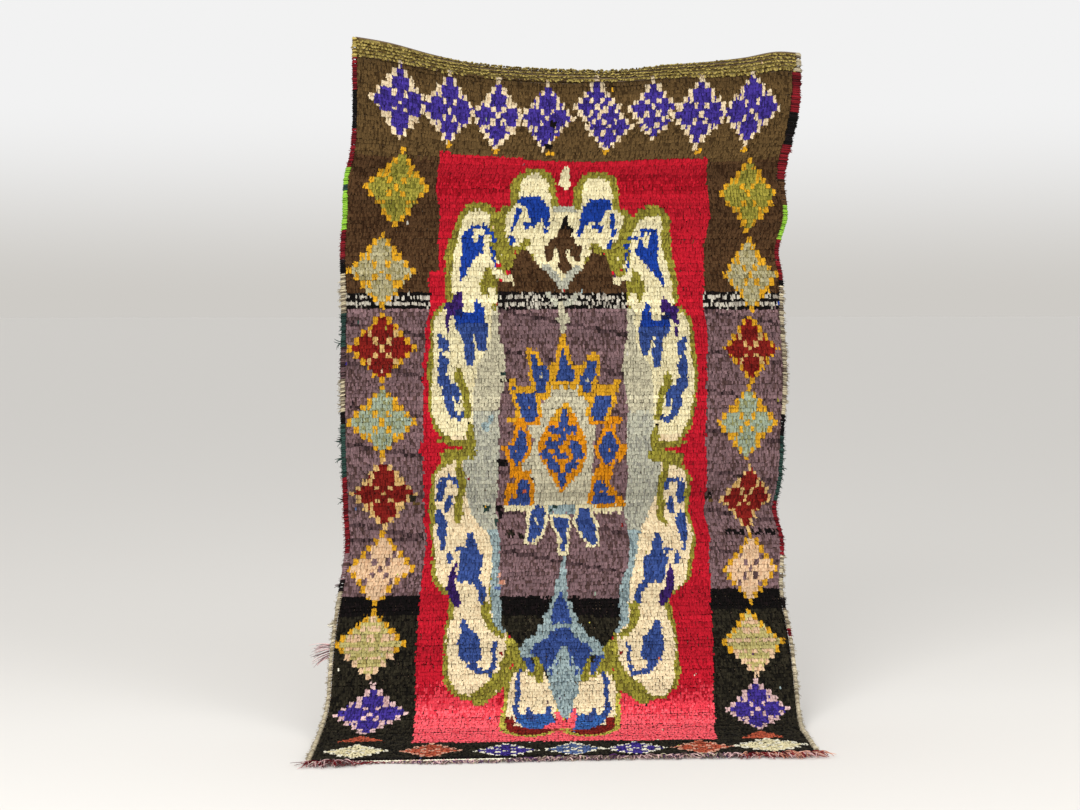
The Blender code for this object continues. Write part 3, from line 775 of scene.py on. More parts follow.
# Star: pale ground, yellow outlines, blue petals, with the leaves under it
def tieStar(number, x, t):
    middle = knots["middle"]
    yellow = np.where(t > 1165 + 12 * np.sin(x / 19), yarnNumber["mustard"], yarnNumber["orange"])
    tie(number, inShape(x, t, starGround), "paleWarm")
    outline = inShape(x, t, starHeart)
    for rows in starPetals:
        outline |= inShape(x, t, rows, 12)
    for chain in starStrokes:
        outline |= chainDistance(x, t, chain) < 0
    number[outline] = yellow[outline]
    tie(number, (np.abs(t - 1246) < 5) & (np.abs(x - middle) < 40) & (np.sin(x / 3.6) > 0.5), "paleWarm")
    for rows in starPetals:
        tie(number, inShape(x, t, rows), "steel")
    for chain in heartDabs:
        tie(number, chainDistance(x, t, chain) < 0, "steel")
    for dotX, dotT, width, name in starDots:
        tie(number, np.hypot(x - dotX, t - dotT) < width, name)

    tieStrokes(number, x, t, leafLines)
    tie(number, (np.abs(x - middle) < 58) & (t > 908) & (t < 930), "paleBlue")
    for rows in underPetals:
        tie(number, inShape(x, t, rows, 9), "cream")
    for rows in underPetals:
        tie(number, inShape(x, t, rows), "steel")
    tie(number, chainDistance(x, t, ((-79, 888, 4), (-78, 880, 4))) < 0, "cream")


# A diamond of blocks: the outline steps, the lattice crosses in the middle
def tieDiamond(number, x, t, yarnsUsed, steps, place, missed, chance):
    outlineName, fillName, latticeName = yarnsUsed
    middleX, middleT, blockX, blockT = place
    acrossBlocks = np.rint((x - middleX) / blockX)
    upBlocks = np.rint((t - middleT) / blockT)
    count = np.abs(acrossBlocks) + np.abs(upBlocks)
    # each block of the outline is a dab a little smaller than its place
    besideDab = np.abs(x - middleX - acrossBlocks * blockX) / blockX
    overDab = np.abs(t - middleT - upBlocks * blockT) / blockT
    (outlineWide, outlineTall), (latticeWide, latticeTall) = knots["outlineDab"], knots["latticeDab"]
    dab = (besideDab < outlineWide) & (overDab < outlineTall) & ~missed
    latticeDab = (besideDab < latticeWide) & (overDab < latticeTall) & ~missed
    inside = np.abs(x - middleX) / blockX + np.abs(t - middleT) / blockT < steps + 0.05
    fillName, *secondFill = fillName.split("+")
    tie(number, (count < steps) | ((count == steps) & inside), fillName)
    for name in secondFill:
        streaks = (np.sin(t / 4.7) > 0.2) & (chance.random(x.shape) < 0.8)
        tie(number, (count < steps) & streaks, name)
    tie(number, (count < steps) & (np.abs(acrossBlocks) == np.abs(upBlocks)) & latticeDab, latticeName)
    upperName, lowerName = (outlineName.split("+") * 2)[:2]
    tie(number, (count == steps) & dab & (upBlocks > -2), upperName)
    tie(number, (count == steps) & dab & (upBlocks <= -2), lowerName)


# The yarn's number at each knot of the rug: later lines are tied over earlier ones
def patternYarns(x, t, chance):
    gridX, gridT = x, t
    x = x + chance.normal(0, knots["edgeWobble"], x.shape)
    t = t + 2.5 * np.sin(x / 160) + chance.normal(0, 0.8, x.shape)
    ground = groundYarns(x, t, chance)
    number = ground.copy()
    tieRedField(number, x, t, chance)
    tieWreath(number, x, t)
    tieWindow(number, ground, x, t)
    tieShapes(number, x, t, wreathShapes, both=True)
    tieStrokes(number, x, t, wreathStrokes + palmetteStrokes, both=True)
    # the coral ground reaches up between the two bottom lobes
    fromMiddle = x - knots["middle"]
    between = (np.abs(fromMiddle - 14 * np.sign(fromMiddle)) < 26) & (t > 262)
    tie(number, between & (t < 300 - np.abs(x - 6) * 0.4), "coral")
    tieStrokes(number, x, t, bottomStrokes + middleStrokes)
    tieShapes(number, x, t, palmetteShapes)
    tieStar(number, x, t)

    missed = chance.random(x.shape) < knots["missedShare"]
    for outline, fill, lattice, steps, *places in diamonds:
        for place in places:
            tieDiamond(number, gridX, gridT, (outline, fill, lattice), steps, place, missed, chance)
    # low rust half diamonds over the end row's outer ones
    slivers = (np.abs(x + 490) < 62 * np.clip((247 - t) / 54, 0, 1)) & (t > 193)
    slivers |= (np.abs(x - 486) < 54 * np.clip((221 - t) / 75, 0, 1)) & (t > 146)
    tie(number, slivers & (t < 240), "rust")
    for knotX, knotT, width, name in oddKnots:
        tie(number, np.hypot(x - knotX, t - knotT) < width, name)
    tie(number, (t < 6) & (chance.random(x.shape) < 0.85), "black")
    return number


# One colour for each end of yarn: heathered, uneven, and a little different from row to row
def yarnColors(number, t, chance):
    first, second = firstColors[number], secondColors[number]
    share = secondShares[number]
    mix = np.where(chance.random(number.shape) < share, chance.uniform(0.5, 1.0, number.shape), 0.0)
    mix = np.clip(mix + chance.uniform(0, 0.25, number.shape), 0, 1)[..., None]
    colors = first * (1 - mix) + second * mix
    uneven = unevenness[number]
    rowTone = 1 + 0.06 * np.sin(t / 23.0) + 0.05 * np.sin(t / 61.0 + 1.3)
    shade = np.exp(chance.normal(0, 1, number.shape) * uneven) * rowTone
    return colors * shade[..., None]


def linkObject(name, mesh, material):
    mesh.materials.append(material)
    mesh.polygons.foreach_set("use_smooth", np.ones(len(mesh.polygons), bool))
    item = bpy.data.objects.new(name, mesh)
    scene.collection.objects.link(item)
    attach(item, "root")
    return item


# A mesh from arrays: points, corners of all faces, corners in each face, a colour for each point
# or corner, and each corner's place in the baked picture where the piece brings its own
def meshFromArrays(name, points, corners, counts, colors, places=None):
    mesh = bpy.data.meshes.new(name)
    starts = np.concatenate([[0], np.cumsum(counts)[:-1]])
    mesh.vertices.add(len(points))
    mesh.vertices.foreach_set("co", np.ascontiguousarray(points, np.float32).ravel())
    mesh.loops.add(len(corners))
    mesh.loops.foreach_set("vertex_index", np.ascontiguousarray(corners, np.int32).ravel())
    mesh.polygons.add(len(counts))
    mesh.polygons.foreach_set("loop_start", starts.astype(np.int32))
    if places is not None:
        layer = mesh.uv_layers.new(name="OFBake")
        layer.data.foreach_set("uv", np.ascontiguousarray(places, np.float32).ravel())
    mesh.update(calc_edges=True)
    mesh.validate()
    domain = "CORNER" if len(colors) == len(corners) and len(colors) != len(points) else "POINT"
    layer = mesh.color_attributes.new("yarnColor", "FLOAT_COLOR", domain)
    rgba = np.ones((len(colors), 4), np.float32)
    rgba[:, :3] = np.clip(colors, 0, 1)
    layer.data.foreach_set("color", rgba.ravel())
    return mesh


# Wool: a soft matt fibre surface with a faint sheen; the nodes give its fine fibres
def woolMaterial(name, fibre, roughness, sheen, fibreSize, bumpDepth):
    material = newMaterial(name, {
        "Roughness": roughness,
        "Specular IOR Level": 0.06,
        "IOR": 1.54,
        "Sheen Weight": sheen,
        "Sheen Roughness": 0.55,
    })
    tree = material.node_tree
    surface = tree.nodes["Principled BSDF"]
    color = addNode(tree, "ShaderNodeVertexColor", layer_name="yarnColor")
    place = addNode(tree, "ShaderNodeTexCoord")
    # fibres run along the yarn, which lies down the cloth, so the pattern is drawn out in that direction
    drawnOut = addNode(tree, "ShaderNodeVectorMath", {1: (1.0, 0.22, 0.22)}, {0: (place, "Object")},
                       operation="MULTIPLY")
    fibres = addNode(tree, "ShaderNodeTexNoise", {"Scale": 1 / fibreSize, "Detail": 3.0, "Roughness": 0.65},
                     {"Vector": (drawnOut, "Vector")})
    tone = addNode(tree, "ShaderNodeMapRange", {"To Min": 1 - fibre, "To Max": 1 + fibre * 0.8},
                   {"Value": (fibres, "Fac")})
    tinted = addNode(tree, "ShaderNodeVectorMath",
                     links={0: (color, "Color"), "Scale": (tone, "Result")}, operation="SCALE")
    bump = addNode(tree, "ShaderNodeBump", {"Strength": 0.6, "Distance": bumpDepth},
                   {"Height": (fibres, "Fac")})
    tree.links.new(tinted.outputs["Vector"], surface.inputs["Base Color"])
    tree.links.new(bump.outputs["Normal"], surface.inputs["Normal"])
    return material


# Handspun wool, hand-knotted and cut: soft matt ends with fine fibres about a millimetre across
pileWool = woolMaterial("Handspun wool pile", 0.60, 0.92, 0.02, 0.0011, 0.0011)
# Wool knots and wefts of the foundation: flatter and duller than the pile
groundWool = woolMaterial("Woven wool foundation", 0.25, 0.95, 0.02, 0.0016, 0.0005)
# Plied edge yarn wound round the side warps: a round yarn with hairs standing off
edgeWool = woolMaterial("Plied wool edge yarn", 0.28, 0.92, 0.02, 0.0012, 0.0006)
# Worsted cord twined over the last warps: brighter and a little smoother than the pile
cordWool = woolMaterial("Twined worsted cord", 0.14, 0.82, 0.02, 0.0010, 0.0004)
# Frayed warp ends: thin and limp, the twist opening into fibres
frayedWool = woolMaterial("Frayed wool warp ends", 0.25, 0.92, 0.02, 0.0010, 0.0004)

pile = {
    "rootHeight": 4.8,  # millimetres over the cloth's back
    "tipHeight": 8.0,
    "tipDown": 11.6,
    "rootRadius": 2.3,
    "tipRadius": 3.15,
    "arch": 0.92,  # height of an end's round upper side against its half width
    "corners": 5,  # corners along that round side
    "cutTilt": 0.80,  # the cut face turns out of the cloth
    "bands": 5,
    # painted shade: the root ring's colour is darker than the tip ring's, standing in for the shadow deep
    # between the ends
    "rootPaintedShade": 0.66,
    "tipShade": 0.83,
    # spread of the random differences: of rows and places in millimetres, of sizes as a share
    "rowJitter": 0.5,
    "placeJitter": (0.4, 1.0),
    "pairing": 0.3,  # each end of a knot stands this much nearer to the other one
    "sizeJitter": 0.09,
    "sideJitter": 1.3,
    "tipJitter": 0.55,
    "tiltJitter": 0.14,
    "twistJitter": 0.22,
    # painted shade: spread of each row's random darkening
    "rowPaintedShadeJitter": 0.075,
    "strayShare": 0.0008,
    "foldStart": 2108,  # from here up the ends stand away from the fold of the top edge
    "foldLength": 25,
    "foldRise": 2.6,
}


# How far the edge yarns reach in over the pile, in millimetres: t, left, right
edgeReach = (
    (0, 0.5, 1), (640, 0.5, 1), (700, 4, 4), (1400, 4, 4), (1460, 6, 5), (1540, 5, 4), (1790, 4, 4),
    (1815, 4, 15), (2110, 4, 17), (2130, 3, 5), (2170, 3, 3),
)


def knotGrid():
    columns = int(2000 * (halfCloth - 0.002) / knots["acrossPitch"])
    rows = int(1000 * cloth["length"] / knots["rowPitch"])
    return columns, rows


# Places of the cut ends in millimetres and their colours
def placeEnds(chance):
    columns, rows = knotGrid()
    column = np.arange(columns)
    row = np.arange(rows)
    xOfColumn = (column - (columns - 1) / 2) * knots["acrossPitch"]
    unevenRows = np.concatenate([[0], chance.normal(0, pile["rowJitter"], rows - 1)])
    x, t = np.meshgrid(xOfColumn, (row + 0.5) * knots["rowPitch"] + unevenRows)
    number = patternYarns(x, t - knots["lay"], chance)
    colors = yarnColors(number, t, chance)
    # stray ends of left-over yarn
    stray = chance.random(x.shape) < pile["strayShare"]
    colors[stray] = firstColors[chance.integers(0, len(yarnNames), stray.sum())]
    # each row is painted a little lighter or darker than the next at random: painted shade that stands in for
    # the shadow lines between rows
    colors = colors * np.exp(chance.normal(0, pile["rowPaintedShadeJitter"], (rows, 1, 1)))
    acrossJitter, upJitter = pile["placeJitter"]
    paired = np.where(column % 2, -pile["pairing"], pile["pairing"])
    x = x + paired + chance.normal(0, acrossJitter, x.shape)
    t = t + 1.8 * np.sin(x / 95 + row[:, None] * 0.8) + chance.normal(0, upJitter, x.shape)
    return x, np.clip(t, 3.0, 1000 * cloth["length"] - 1.5), colors


# Points and painted shades of the ends: a round root ring and a round cut ring for each; the root ring's
# colour is darkened as painted shade between the ends
def shapeEnds(x, t, chance):
    row = np.arange(len(x))[:, None]
    point, along, down, out = clothFrame(x / 1000, t / 1000)
    size = chance.normal(1, pile["sizeJitter"], x.shape)
    # some rows lie flatter than others, and here and there a row parts from the next
    rowLean = 1 + chance.normal(0, 0.05, (len(x), 1)) + 0.06 * np.sin(x / 70 + row * 2.4)
    lastRows = np.clip(0.40 + t / 40, 0, 1)
    topRows = 1 - 0.50 * np.clip((t - pile["foldStart"]) / pile["foldLength"], 0, 1)
    sideways = chance.normal(0, pile["sideJitter"], x.shape) * (2 - topRows)
    lean = rowLean * size * lastRows * topRows
    twist = chance.normal(0, pile["twistJitter"], x.shape)
    root = pile["rootHeight"] - pile["foldRise"] * (1 - topRows)
    tip = pile["tipHeight"] + chance.normal(0, pile["tipJitter"], x.shape) * (3 - 2 * topRows)
    tip = tip + pile["foldRise"] * (1 - topRows)
    cutTilt = pile["cutTilt"] + chance.normal(0, pile["tiltJitter"], x.shape)
    ends = (
        (0 * x, 0 * x, root, 1.2 + 0 * x, pile["rootRadius"], pile["rootPaintedShade"]),
        (sideways, pile["tipDown"] * lean, tip, cutTilt, pile["tipRadius"], pile["tipShade"]),
    )
    rings, paintedShades = [], []
    for offset, lower, height, tilt, radius, shade in ends:
        away = along * offset[..., None] + down * lower[..., None] + out * height[..., None]
        middle = point + away / 1000
        upper = out * np.sin(tilt)[..., None] - down * np.cos(tilt)[..., None]
        for angle in np.linspace(0, math.pi, pile["corners"]):
            wide = radius * size / 1000
            rings.append(middle + along * (np.cos(angle + twist) * wide)[..., None]
                         + upper * (np.sin(angle + twist) * wide * pile["arch"])[..., None])
            paintedShades.append(shade)
    return np.stack(rings, axis=2), np.array(paintedShades)


# Faces of one end over its two rings, and their places in its small cell of the baked picture
def endFaces():
    corners = pile["corners"]
    faces = [(j, j + 1, corners + j + 1, corners + j) for j in range(corners - 1)]
    faces.append(tuple(range(corners, 2 * corners)))
    template = np.concatenate([np.array(face) for face in faces])
    faceSizes = np.array([len(face) for face in faces])
    cell = []
    for j in range(corners - 1):
        low, high = j / (corners - 1), (j + 1) / (corners - 1)
        cell += [(low, 0.04), (high, 0.04), (high, 0.74), (low, 0.74)]
    angles = np.linspace(0, math.pi, corners)
    cell += [(0.5 + 0.46 * math.cos(angle), 0.78 + 0.20 * math.sin(angle)) for angle in angles]
    cell = np.array(cell)
    cell[:, 0] = 0.06 + 0.88 * cell[:, 0]
    return template, faceSizes, cell


def buildPile():
    chance = np.random.default_rng(knots["seed"])
    x, t, colors = placeEnds(chance)
    points, paintedShades = shapeEnds(x, t, chance)
    # each ring takes its end's colour times its painted shade, so the roots are painted darker
    pointColors = colors[:, :, None, :] * paintedShades[None, None, :, None]
    template, faceSizes, cell = endFaces()

    # the edge yarns lie over the outermost ends, which are left out
    leftTrim, rightTrim = edgesAt(edgeReach, t)
    kept = (x > -1000 * halfCloth + leftTrim - 1) & (x < 1000 * halfCloth - rightTrim + 1)
    pieces = []
    splits = np.linspace(0, len(x), pile["bands"] + 1).astype(int)
    for band, (start, end) in enumerate(zip(splits[:-1], splits[1:])):
        here = kept[start:end]
        count = int(here.sum())
        base = 2 * pile["corners"] * np.arange(count)[:, None]
        across = int(math.ceil(math.sqrt(count)))
        where = np.arange(count)
        cellPlace = np.stack([where % across, where // across], axis=1)[:, None, :]
        places = (cellPlace + cell[None, :, :]) / across
        mesh = meshFromArrays(
            f"pile_band_{band + 1}",
            points[start:end][here].reshape(-1, 3),
            (base + template[None, :]).ravel(),
            np.tile(faceSizes, count),
            pointColors[start:end][here].reshape(-1, 3),
            places.reshape(-1, 2),
        )
        piece = linkObject(f"pile_band_{band + 1}", mesh, pileWool)
        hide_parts("pile_rug")
        pieces.append(piece)
    return pieces


pileBands = buildPile()
print("Pile knotted:", sum(len(piece.data.vertices) // (2 * pile["corners"]) for piece in pileBands), "ends")


foundation = {
    "thickness": 0.0030,
    "weftColor": "#6e5c4c",
    "weftShare": 0.42,
    "weftEdge": 0.06,  # how softly weft turns into knot
    "frontShade": 0.55,  # little light reaches the front under the pile
}


# The closed sheet that carries the knots; its back shows the same pattern in flat rows
def buildGround():
    chance = np.random.default_rng(knots["seed"] + 1)
    ends, rows = knotGrid()
    columns = ends // 2
    across = np.linspace(-halfCloth, halfCloth, columns + 1)
    up = np.linspace(0, cloth["length"], rows + 1)
    x, t = np.meshgrid(across, up)
    point, along, down, out = clothFrame(x, t)
    half = point.size // 3
    points = np.concatenate([point.reshape(-1, 3), (point + out * foundation["thickness"]).reshape(-1, 3)])
    middleX, middleT = np.meshgrid((across[1:] + across[:-1]) * 500, (up[1:] + up[:-1]) * 500)
    number = patternYarns(middleX, middleT - knots["lay"], chance)
    colors = yarnColors(number, middleT, chance).reshape(-1, 3)

    first = (np.arange(rows)[:, None] * (columns + 1) + np.arange(columns)[None, :]).ravel()
    back = np.stack([first, first + columns + 1, first + columns + 2, first + 1], axis=1)
    front = back[:, ::-1] + half
    ring = np.concatenate([
        np.arange(columns + 1),
        np.arange(1, rows + 1) * (columns + 1) + columns,
        rows * (columns + 1) + np.arange(columns)[::-1],
        np.arange(1, rows)[::-1] * (columns + 1),
    ])
    after = np.roll(ring, -1)
    rim = np.stack([ring, after, after + half, ring + half], axis=1)
    faces = np.concatenate([back, front, rim])
    rimColor = np.tile(linearColor(foundation["weftColor"]), (len(rim), 1))
    faceColors = np.concatenate([colors, colors * foundation["frontShade"], rimColor])

    # the back fills the left half of the baked picture and the front the right half
    flat = np.stack([(x + halfCloth) / (2 * halfCloth), t / cloth["length"]], axis=-1).reshape(-1, 2)
    places = np.zeros((len(faces), 4, 2))
    places[:len(back)] = flat[back] * (0.48, 0.96) + (0.01, 0.01)
    places[len(back):2 * len(back)] = flat[front - half] * (0.48, 0.96) + (0.51, 0.01)
    rimPlace = np.arange(len(rim)) / len(rim)
    width = 0.9 / len(rim)
    rimCorners = ((0, 0.982), (width, 0.982), (width, 0.996), (0, 0.996))
    for corner, (beside, height) in enumerate(rimCorners):
        places[2 * len(back):, corner] = np.stack([rimPlace + beside, np.full(len(rim), height)], 1)
    mesh = meshFromArrays("ground_weave", points, faces.ravel(), np.full(len(faces), 4),
                          np.repeat(faceColors, 4, axis=0), places.reshape(-1, 2))
    metres = mesh.uv_layers.new(name="clothMetres")
    flatMetres = np.stack([x, t], axis=-1).reshape(-1, 2)
    flatMetres = np.concatenate([flatMetres, flatMetres])
    metres.data.foreach_set("uv", flatMetres[faces.ravel()].astype(np.float32).ravel())
    mesh.uv_layers.active = mesh.uv_layers["OFBake"]
    mesh.uv_layers["OFBake"].active_render = True
    ground = linkObject("ground_weave", mesh, groundWool)
    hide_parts("pile_rug")
    return ground


# Wefts show between the rows of knots on the back: a part of each row's height is weft yarn
def finishGroundMaterial():
    tree = groundWool.node_tree
    surface = tree.nodes["Principled BSDF"]
    clothPlace = addNode(tree, "ShaderNodeUVMap", uv_map="clothMetres")
    split = addNode(tree, "ShaderNodeSeparateXYZ", links={"Vector": (clothPlace, "UV")})
    rowPlace = addNode(tree, "ShaderNodeMath", {1: 1000 / knots["rowPitch"]}, {0: (split, "Y")},
                       operation="MULTIPLY")
    rowShare = addNode(tree, "ShaderNodeMath", links={0: (rowPlace, 0)}, operation="FRACT")
    isWeft = addNode(tree, "ShaderNodeMapRange", {
        "From Min": foundation["weftShare"] - foundation["weftEdge"],
        "From Max": foundation["weftShare"] + foundation["weftEdge"],
        "To Min": 1.0,
        "To Max": 0.0,
    }, {"Value": (rowShare, 0)})
    # relief: each knot, two ends wide, is round across the cloth and up it
    knotWave = addNode(tree, "ShaderNodeMath", {1: 2 * math.pi * 1000 / (2 * knots["acrossPitch"])},
                       {0: (split, "X")}, operation="MULTIPLY")
    knotRound = addNode(tree, "ShaderNodeMath", links={0: (knotWave, 0)}, operation="SINE")
    rowWave = addNode(tree, "ShaderNodeMath", {1: 2 * math.pi}, {0: (rowPlace, 0)}, operation="MULTIPLY")
    rowRound = addNode(tree, "ShaderNodeMath", links={0: (rowWave, 0)}, operation="SINE")
    relief = addNode(tree, "ShaderNodeMath", links={0: (knotRound, 0), 1: (rowRound, 0)}, operation="ADD")
    fibreColor = surface.inputs["Base Color"].links[0].from_node
    fibreBump = surface.inputs["Normal"].links[0].from_node
    mixed = addNode(tree, "ShaderNodeMix", {7: (*linearColor(foundation["weftColor"]), 1)},
                    {0: (isWeft, "Result"), 6: (fibreColor, "Vector")}, data_type="RGBA")
    tree.links.new(mixed.outputs[2], surface.inputs["Base Color"])
    bump = addNode(tree, "ShaderNodeBump", {"Strength": 0.8, "Distance": 0.0012},
                   {"Height": (relief, 0), "Normal": (fibreBump, "Normal")})
    tree.links.new(bump.outputs["Normal"], surface.inputs["Normal"])


groundWeave = buildGround()
finishGroundMaterial()
print("Foundation woven")


# Tubes of yarn along many paths, with a radius at each step and a colour at each step or yarn
def buildYarns(name, paths, radii, colors, sides, material):
    count, steps = paths.shape[:2]
    if colors.ndim == 2:
        colors = np.repeat(colors[:, None], steps, axis=1)
    tangent = unit(np.gradient(paths, axis=1) + 1e-12)
    side = unit(np.cross(tangent, (0.0, 0.0, 1.0)))
    other = unit(np.cross(side, tangent))
    angle = np.arange(sides) * 2 * math.pi / sides
    rings = (paths[:, :, None, :]
             + side[:, :, None, :] * (np.cos(angle)[None, None, :] * radii[:, :, None])[..., None]
             + other[:, :, None, :] * (np.sin(angle)[None, None, :] * radii[:, :, None])[..., None])
    points = rings.reshape(-1, 3)
    ring = np.arange(steps - 1)[:, None] * sides + np.arange(sides)[None, :]
    nextRing = np.arange(steps - 1)[:, None] * sides + (np.arange(sides)[None, :] + 1) % sides
    quads = np.stack([ring, nextRing, nextRing + sides, ring + sides], axis=-1).reshape(-1, 4)
    base = (np.arange(count) * steps * sides)[:, None]
    sideCorners = (base[:, :, None] + quads[None]).reshape(count, -1)
    caps = np.concatenate([np.arange(sides)[::-1], (steps - 1) * sides + np.arange(sides)])
    capCorners = base + caps[None]
    corners = np.concatenate([sideCorners, capCorners], axis=1).ravel()
    counts = np.tile(np.concatenate([np.full(len(quads), 4), [sides, sides]]), count)
    pointColors = np.repeat(colors.reshape(-1, 3), sides, axis=0)
    mesh = meshFromArrays(name, points, corners, counts, pointColors)
    return linkObject(name, mesh, material)


# Paths of loose yarn that grow from their starts; headingAt gives the way at each part of them
def growPaths(start, length, steps, headingAt):
    paths = [start]
    for step in range(1, steps):
        heading = unit(headingAt(step / (steps - 1)))
        paths.append(paths[-1] + heading * (length / (steps - 1))[:, None])
    return np.stack(paths, axis=1)


def liftOffFloor(paths, radius):
    paths[..., 2] = np.maximum(paths[..., 2], studio["floorHeight"] + radius)


# Yarn numbers for random picks from 0 to 1, by a list of upper limit and yarn
def yarnsByShare(pick, shares):
    return np.select([pick < limit for limit, name in shares], [yarnNumber[name] for limit, name in shares])


# Yarns of the overcast edges, from the top down: lower limit in mm, yarn, hairiness
leftEdgeYarns = (
    (2112, "oliveGold", 0.3), (2030, "darkRed", 0.2), (1925, "black", 0.2), (1827, "darkRed", 0.3),
    (1780, "green", 0.2), (1764, "teal", 0.2), (1657, "green", 0.2), (1580, "darkRed", 0.3),
    (1545, "black", 0.3), (1443, "ecru", 1.0), (1353, "teal", 0.7), (1270, "mauveDark", 0.6),
    (1184, "ecru", 1.0), (1149, "black", 0.4), (1009, "teal", 0.7), (805, "darkRed", 0.7),
    (735, "mauve", 0.8), (700, "black", 0.8), (-50, "wornEcru", 0.8),
)
rightEdgeYarns = (
    (2115, "ecru", 0.3), (2000, "darkRed", 0.2), (1903, "black", 0.2), (1805, "darkRed", 0.3),
    (1736, "brown", 0.3), (1641, "green", 0.2), (1532, "darkRed", 0.3), (1516, "black", 0.3),
    (1165, "ecru", 0.8), (1110, "black", 0.5), (934, "teal", 0.7), (784, "darkRed", 0.6),
    (657, "ecru", 0.8), (630, "black", 0.6), (566, "ecru", 0.6), (548, "darkRed", 0.5),
    (-50, "wornEcru", 0.8),
)
# Fullness of the edges: distance from the lower end, left thickness, right thickness
edgeBulk = (
    (0.00, 0.010, 0.012), (0.30, 0.011, 0.013), (0.60, 0.012, 0.012), (0.72, 0.015, 0.011),
    (1.00, 0.011, 0.010), (1.30, 0.014, 0.011), (1.62, 0.014, 0.012), (1.72, 0.011, 0.012),
    (1.95, 0.010, 0.011), (2.17, 0.012, 0.011),
)
edges = {
    "turnPitch": 0.0052,
    "yarnRadius": 0.0027,
    "pointsPerTurn": 10,
    "endMargin": 0.003,
    "turnJitter": 0.13,
    "pitchJitter": 0.0009,
    "locks": 300,
    "hairsPerLock": 5,
    "lockSpread": 0.0022,
    "hairLength": 0.014,
    "hairThickness": (0.0006, 0.0013),
    "hairSteps": 6,
    "tailHairs": 4,
    "tailSpread": 0.0020,
    "tailThickness": 0.0017,
    # loose tails: side, distance from the lower end in mm, length in mm, yarn
    "tails": (
        (-1, 1364, 26, "teal"), (-1, 1105, 22, "teal"), (-1, 1062, 24, "teal"), (-1, 951, 20, "teal"),
        (-1, 1110, 16, "black"), (-1, 724, 18, "mauveDark"), (-1, 613, 20, "ecru"), (-1, 608, 24, "ivory"),
        (1, 1888, 14, "darkRed"), (1, 742, 12, "ecru"), (1, 1020, 14, "teal"), (1, 660, 12, "black"),
    ),
}


# Yarn number and hairiness of an edge at heights in millimetres
def edgeYarnAt(table, t):
    limits, names, hairiness = zip(*table)
    which = np.argmax(t[..., None] > np.array(limits), axis=-1)
    return np.array([yarnNumber[name] for name in names])[which], np.array(hairiness)[which]


def windEdge(name, side, table, chance):
    perTurnPoints = edges["pointsPerTurn"]
    wound = cloth["length"] - 2 * edges["endMargin"]
    turns = int(wound / edges["turnPitch"])
    steps = turns * perTurnPoints
    angle = np.arange(steps) * 2 * math.pi / perTurnPoints
    turnNumber = np.arange(steps) // perTurnPoints
    perTurn = np.clip(chance.normal(1, edges["turnJitter"], turns), 0.7, 1.25)[turnNumber]
    up = edges["endMargin"] + wound * np.arange(steps) / steps
    up = up + chance.normal(0, edges["pitchJitter"], turns)[turnNumber]
    point, along, down, out = clothFrame(np.full(steps, side * halfCloth), np.clip(up, 0, cloth["length"]))
    bulk = readTable(edgeBulk, 1 if side < 0 else 2, up)
    radius = edges["yarnRadius"]
    inward = edgesAt(edgeReach, 1000 * up)[0 if side < 0 else 1] / 1000
    wide = ((cloth["edgeWidth"] + inward) / 2 - radius * 0.75) * perTurn
    tall = (bulk / 2 - radius * 0.45) * perTurn
    middle = point + along * side * ((cloth["edgeWidth"] - inward) / 2)[:, None] + out * (bulk / 2)[:, None]
    path = middle + along * side * (np.cos(angle) * wide)[:, None] + out * (np.sin(angle) * tall)[:, None]
    liftOffFloor(path, radius * 1.15)
    turnHeights = 1000 * up[::perTurnPoints]
    number = edgeYarnAt(table, turnHeights)[0]
    colors = yarnColors(number, turnHeights, chance)[turnNumber]
    radii = radius * chance.normal(1, 0.06, steps)
    return buildYarns(name, path[None], radii[None], colors[None], 4, edgeWool)


# Hairs in small locks, and loose tails, that stand off the edge
def hairEdge(name, side, table, chance):
    locks = chance.uniform(0.01, cloth["length"] - 0.01, edges["locks"])
    hairUp = np.repeat(locks, edges["hairsPerLock"])
    hairUp = hairUp + chance.normal(0, edges["lockSpread"], len(hairUp))
    number, hairy = edgeYarnAt(table, 1000 * hairUp)
    keep = chance.random(len(hairUp)) < hairy
    hairUp, number, hairy = hairUp[keep], number[keep], hairy[keep]
    length = edges["hairLength"] * chance.uniform(0.35, 1.0, len(hairUp)) * (0.5 + 0.5 * hairy)
    thick = chance.uniform(*edges["hairThickness"], len(hairUp))
    tailHairs = edges["tailHairs"]
    for tailSide, tailT, tailLength, tailYarn in edges["tails"]:
        if tailSide == side:
            hairUp = np.append(hairUp, tailT / 1000 + chance.normal(0, edges["tailSpread"], tailHairs))
            number = np.append(number, np.full(tailHairs, yarnNumber[tailYarn]))
            length = np.append(length, tailLength / 1000 * chance.uniform(0.6, 1.05, tailHairs))
            thick = np.append(thick, np.full(tailHairs, edges["tailThickness"]))
    count = len(hairUp)
    point, along, down, out = clothFrame(np.full(count, side * (halfCloth + 0.006)), hairUp)
    start = point + out * chance.uniform(0.002, 0.010, count)[:, None]
    bend = chance.uniform(-0.5, 1.3, count)
    turnOut = chance.uniform(-0.5, 0.5, count)

    def headingAt(part):
        turned = bend * part * 1.3
        return (along * side * np.cos(turned)[:, None] + down * np.sin(turned)[:, None]
                + out * (turnOut * (1 - part))[:, None])

    paths = growPaths(start, length, edges["hairSteps"], headingAt)
    liftOffFloor(paths, 0.0014)
    taper = np.linspace(1, 0.35, edges["hairSteps"])
    colors = yarnColors(number, 1000 * hairUp, chance)
    return buildYarns(name, paths, thick[:, None] * taper[None], colors, 3, edgeWool)


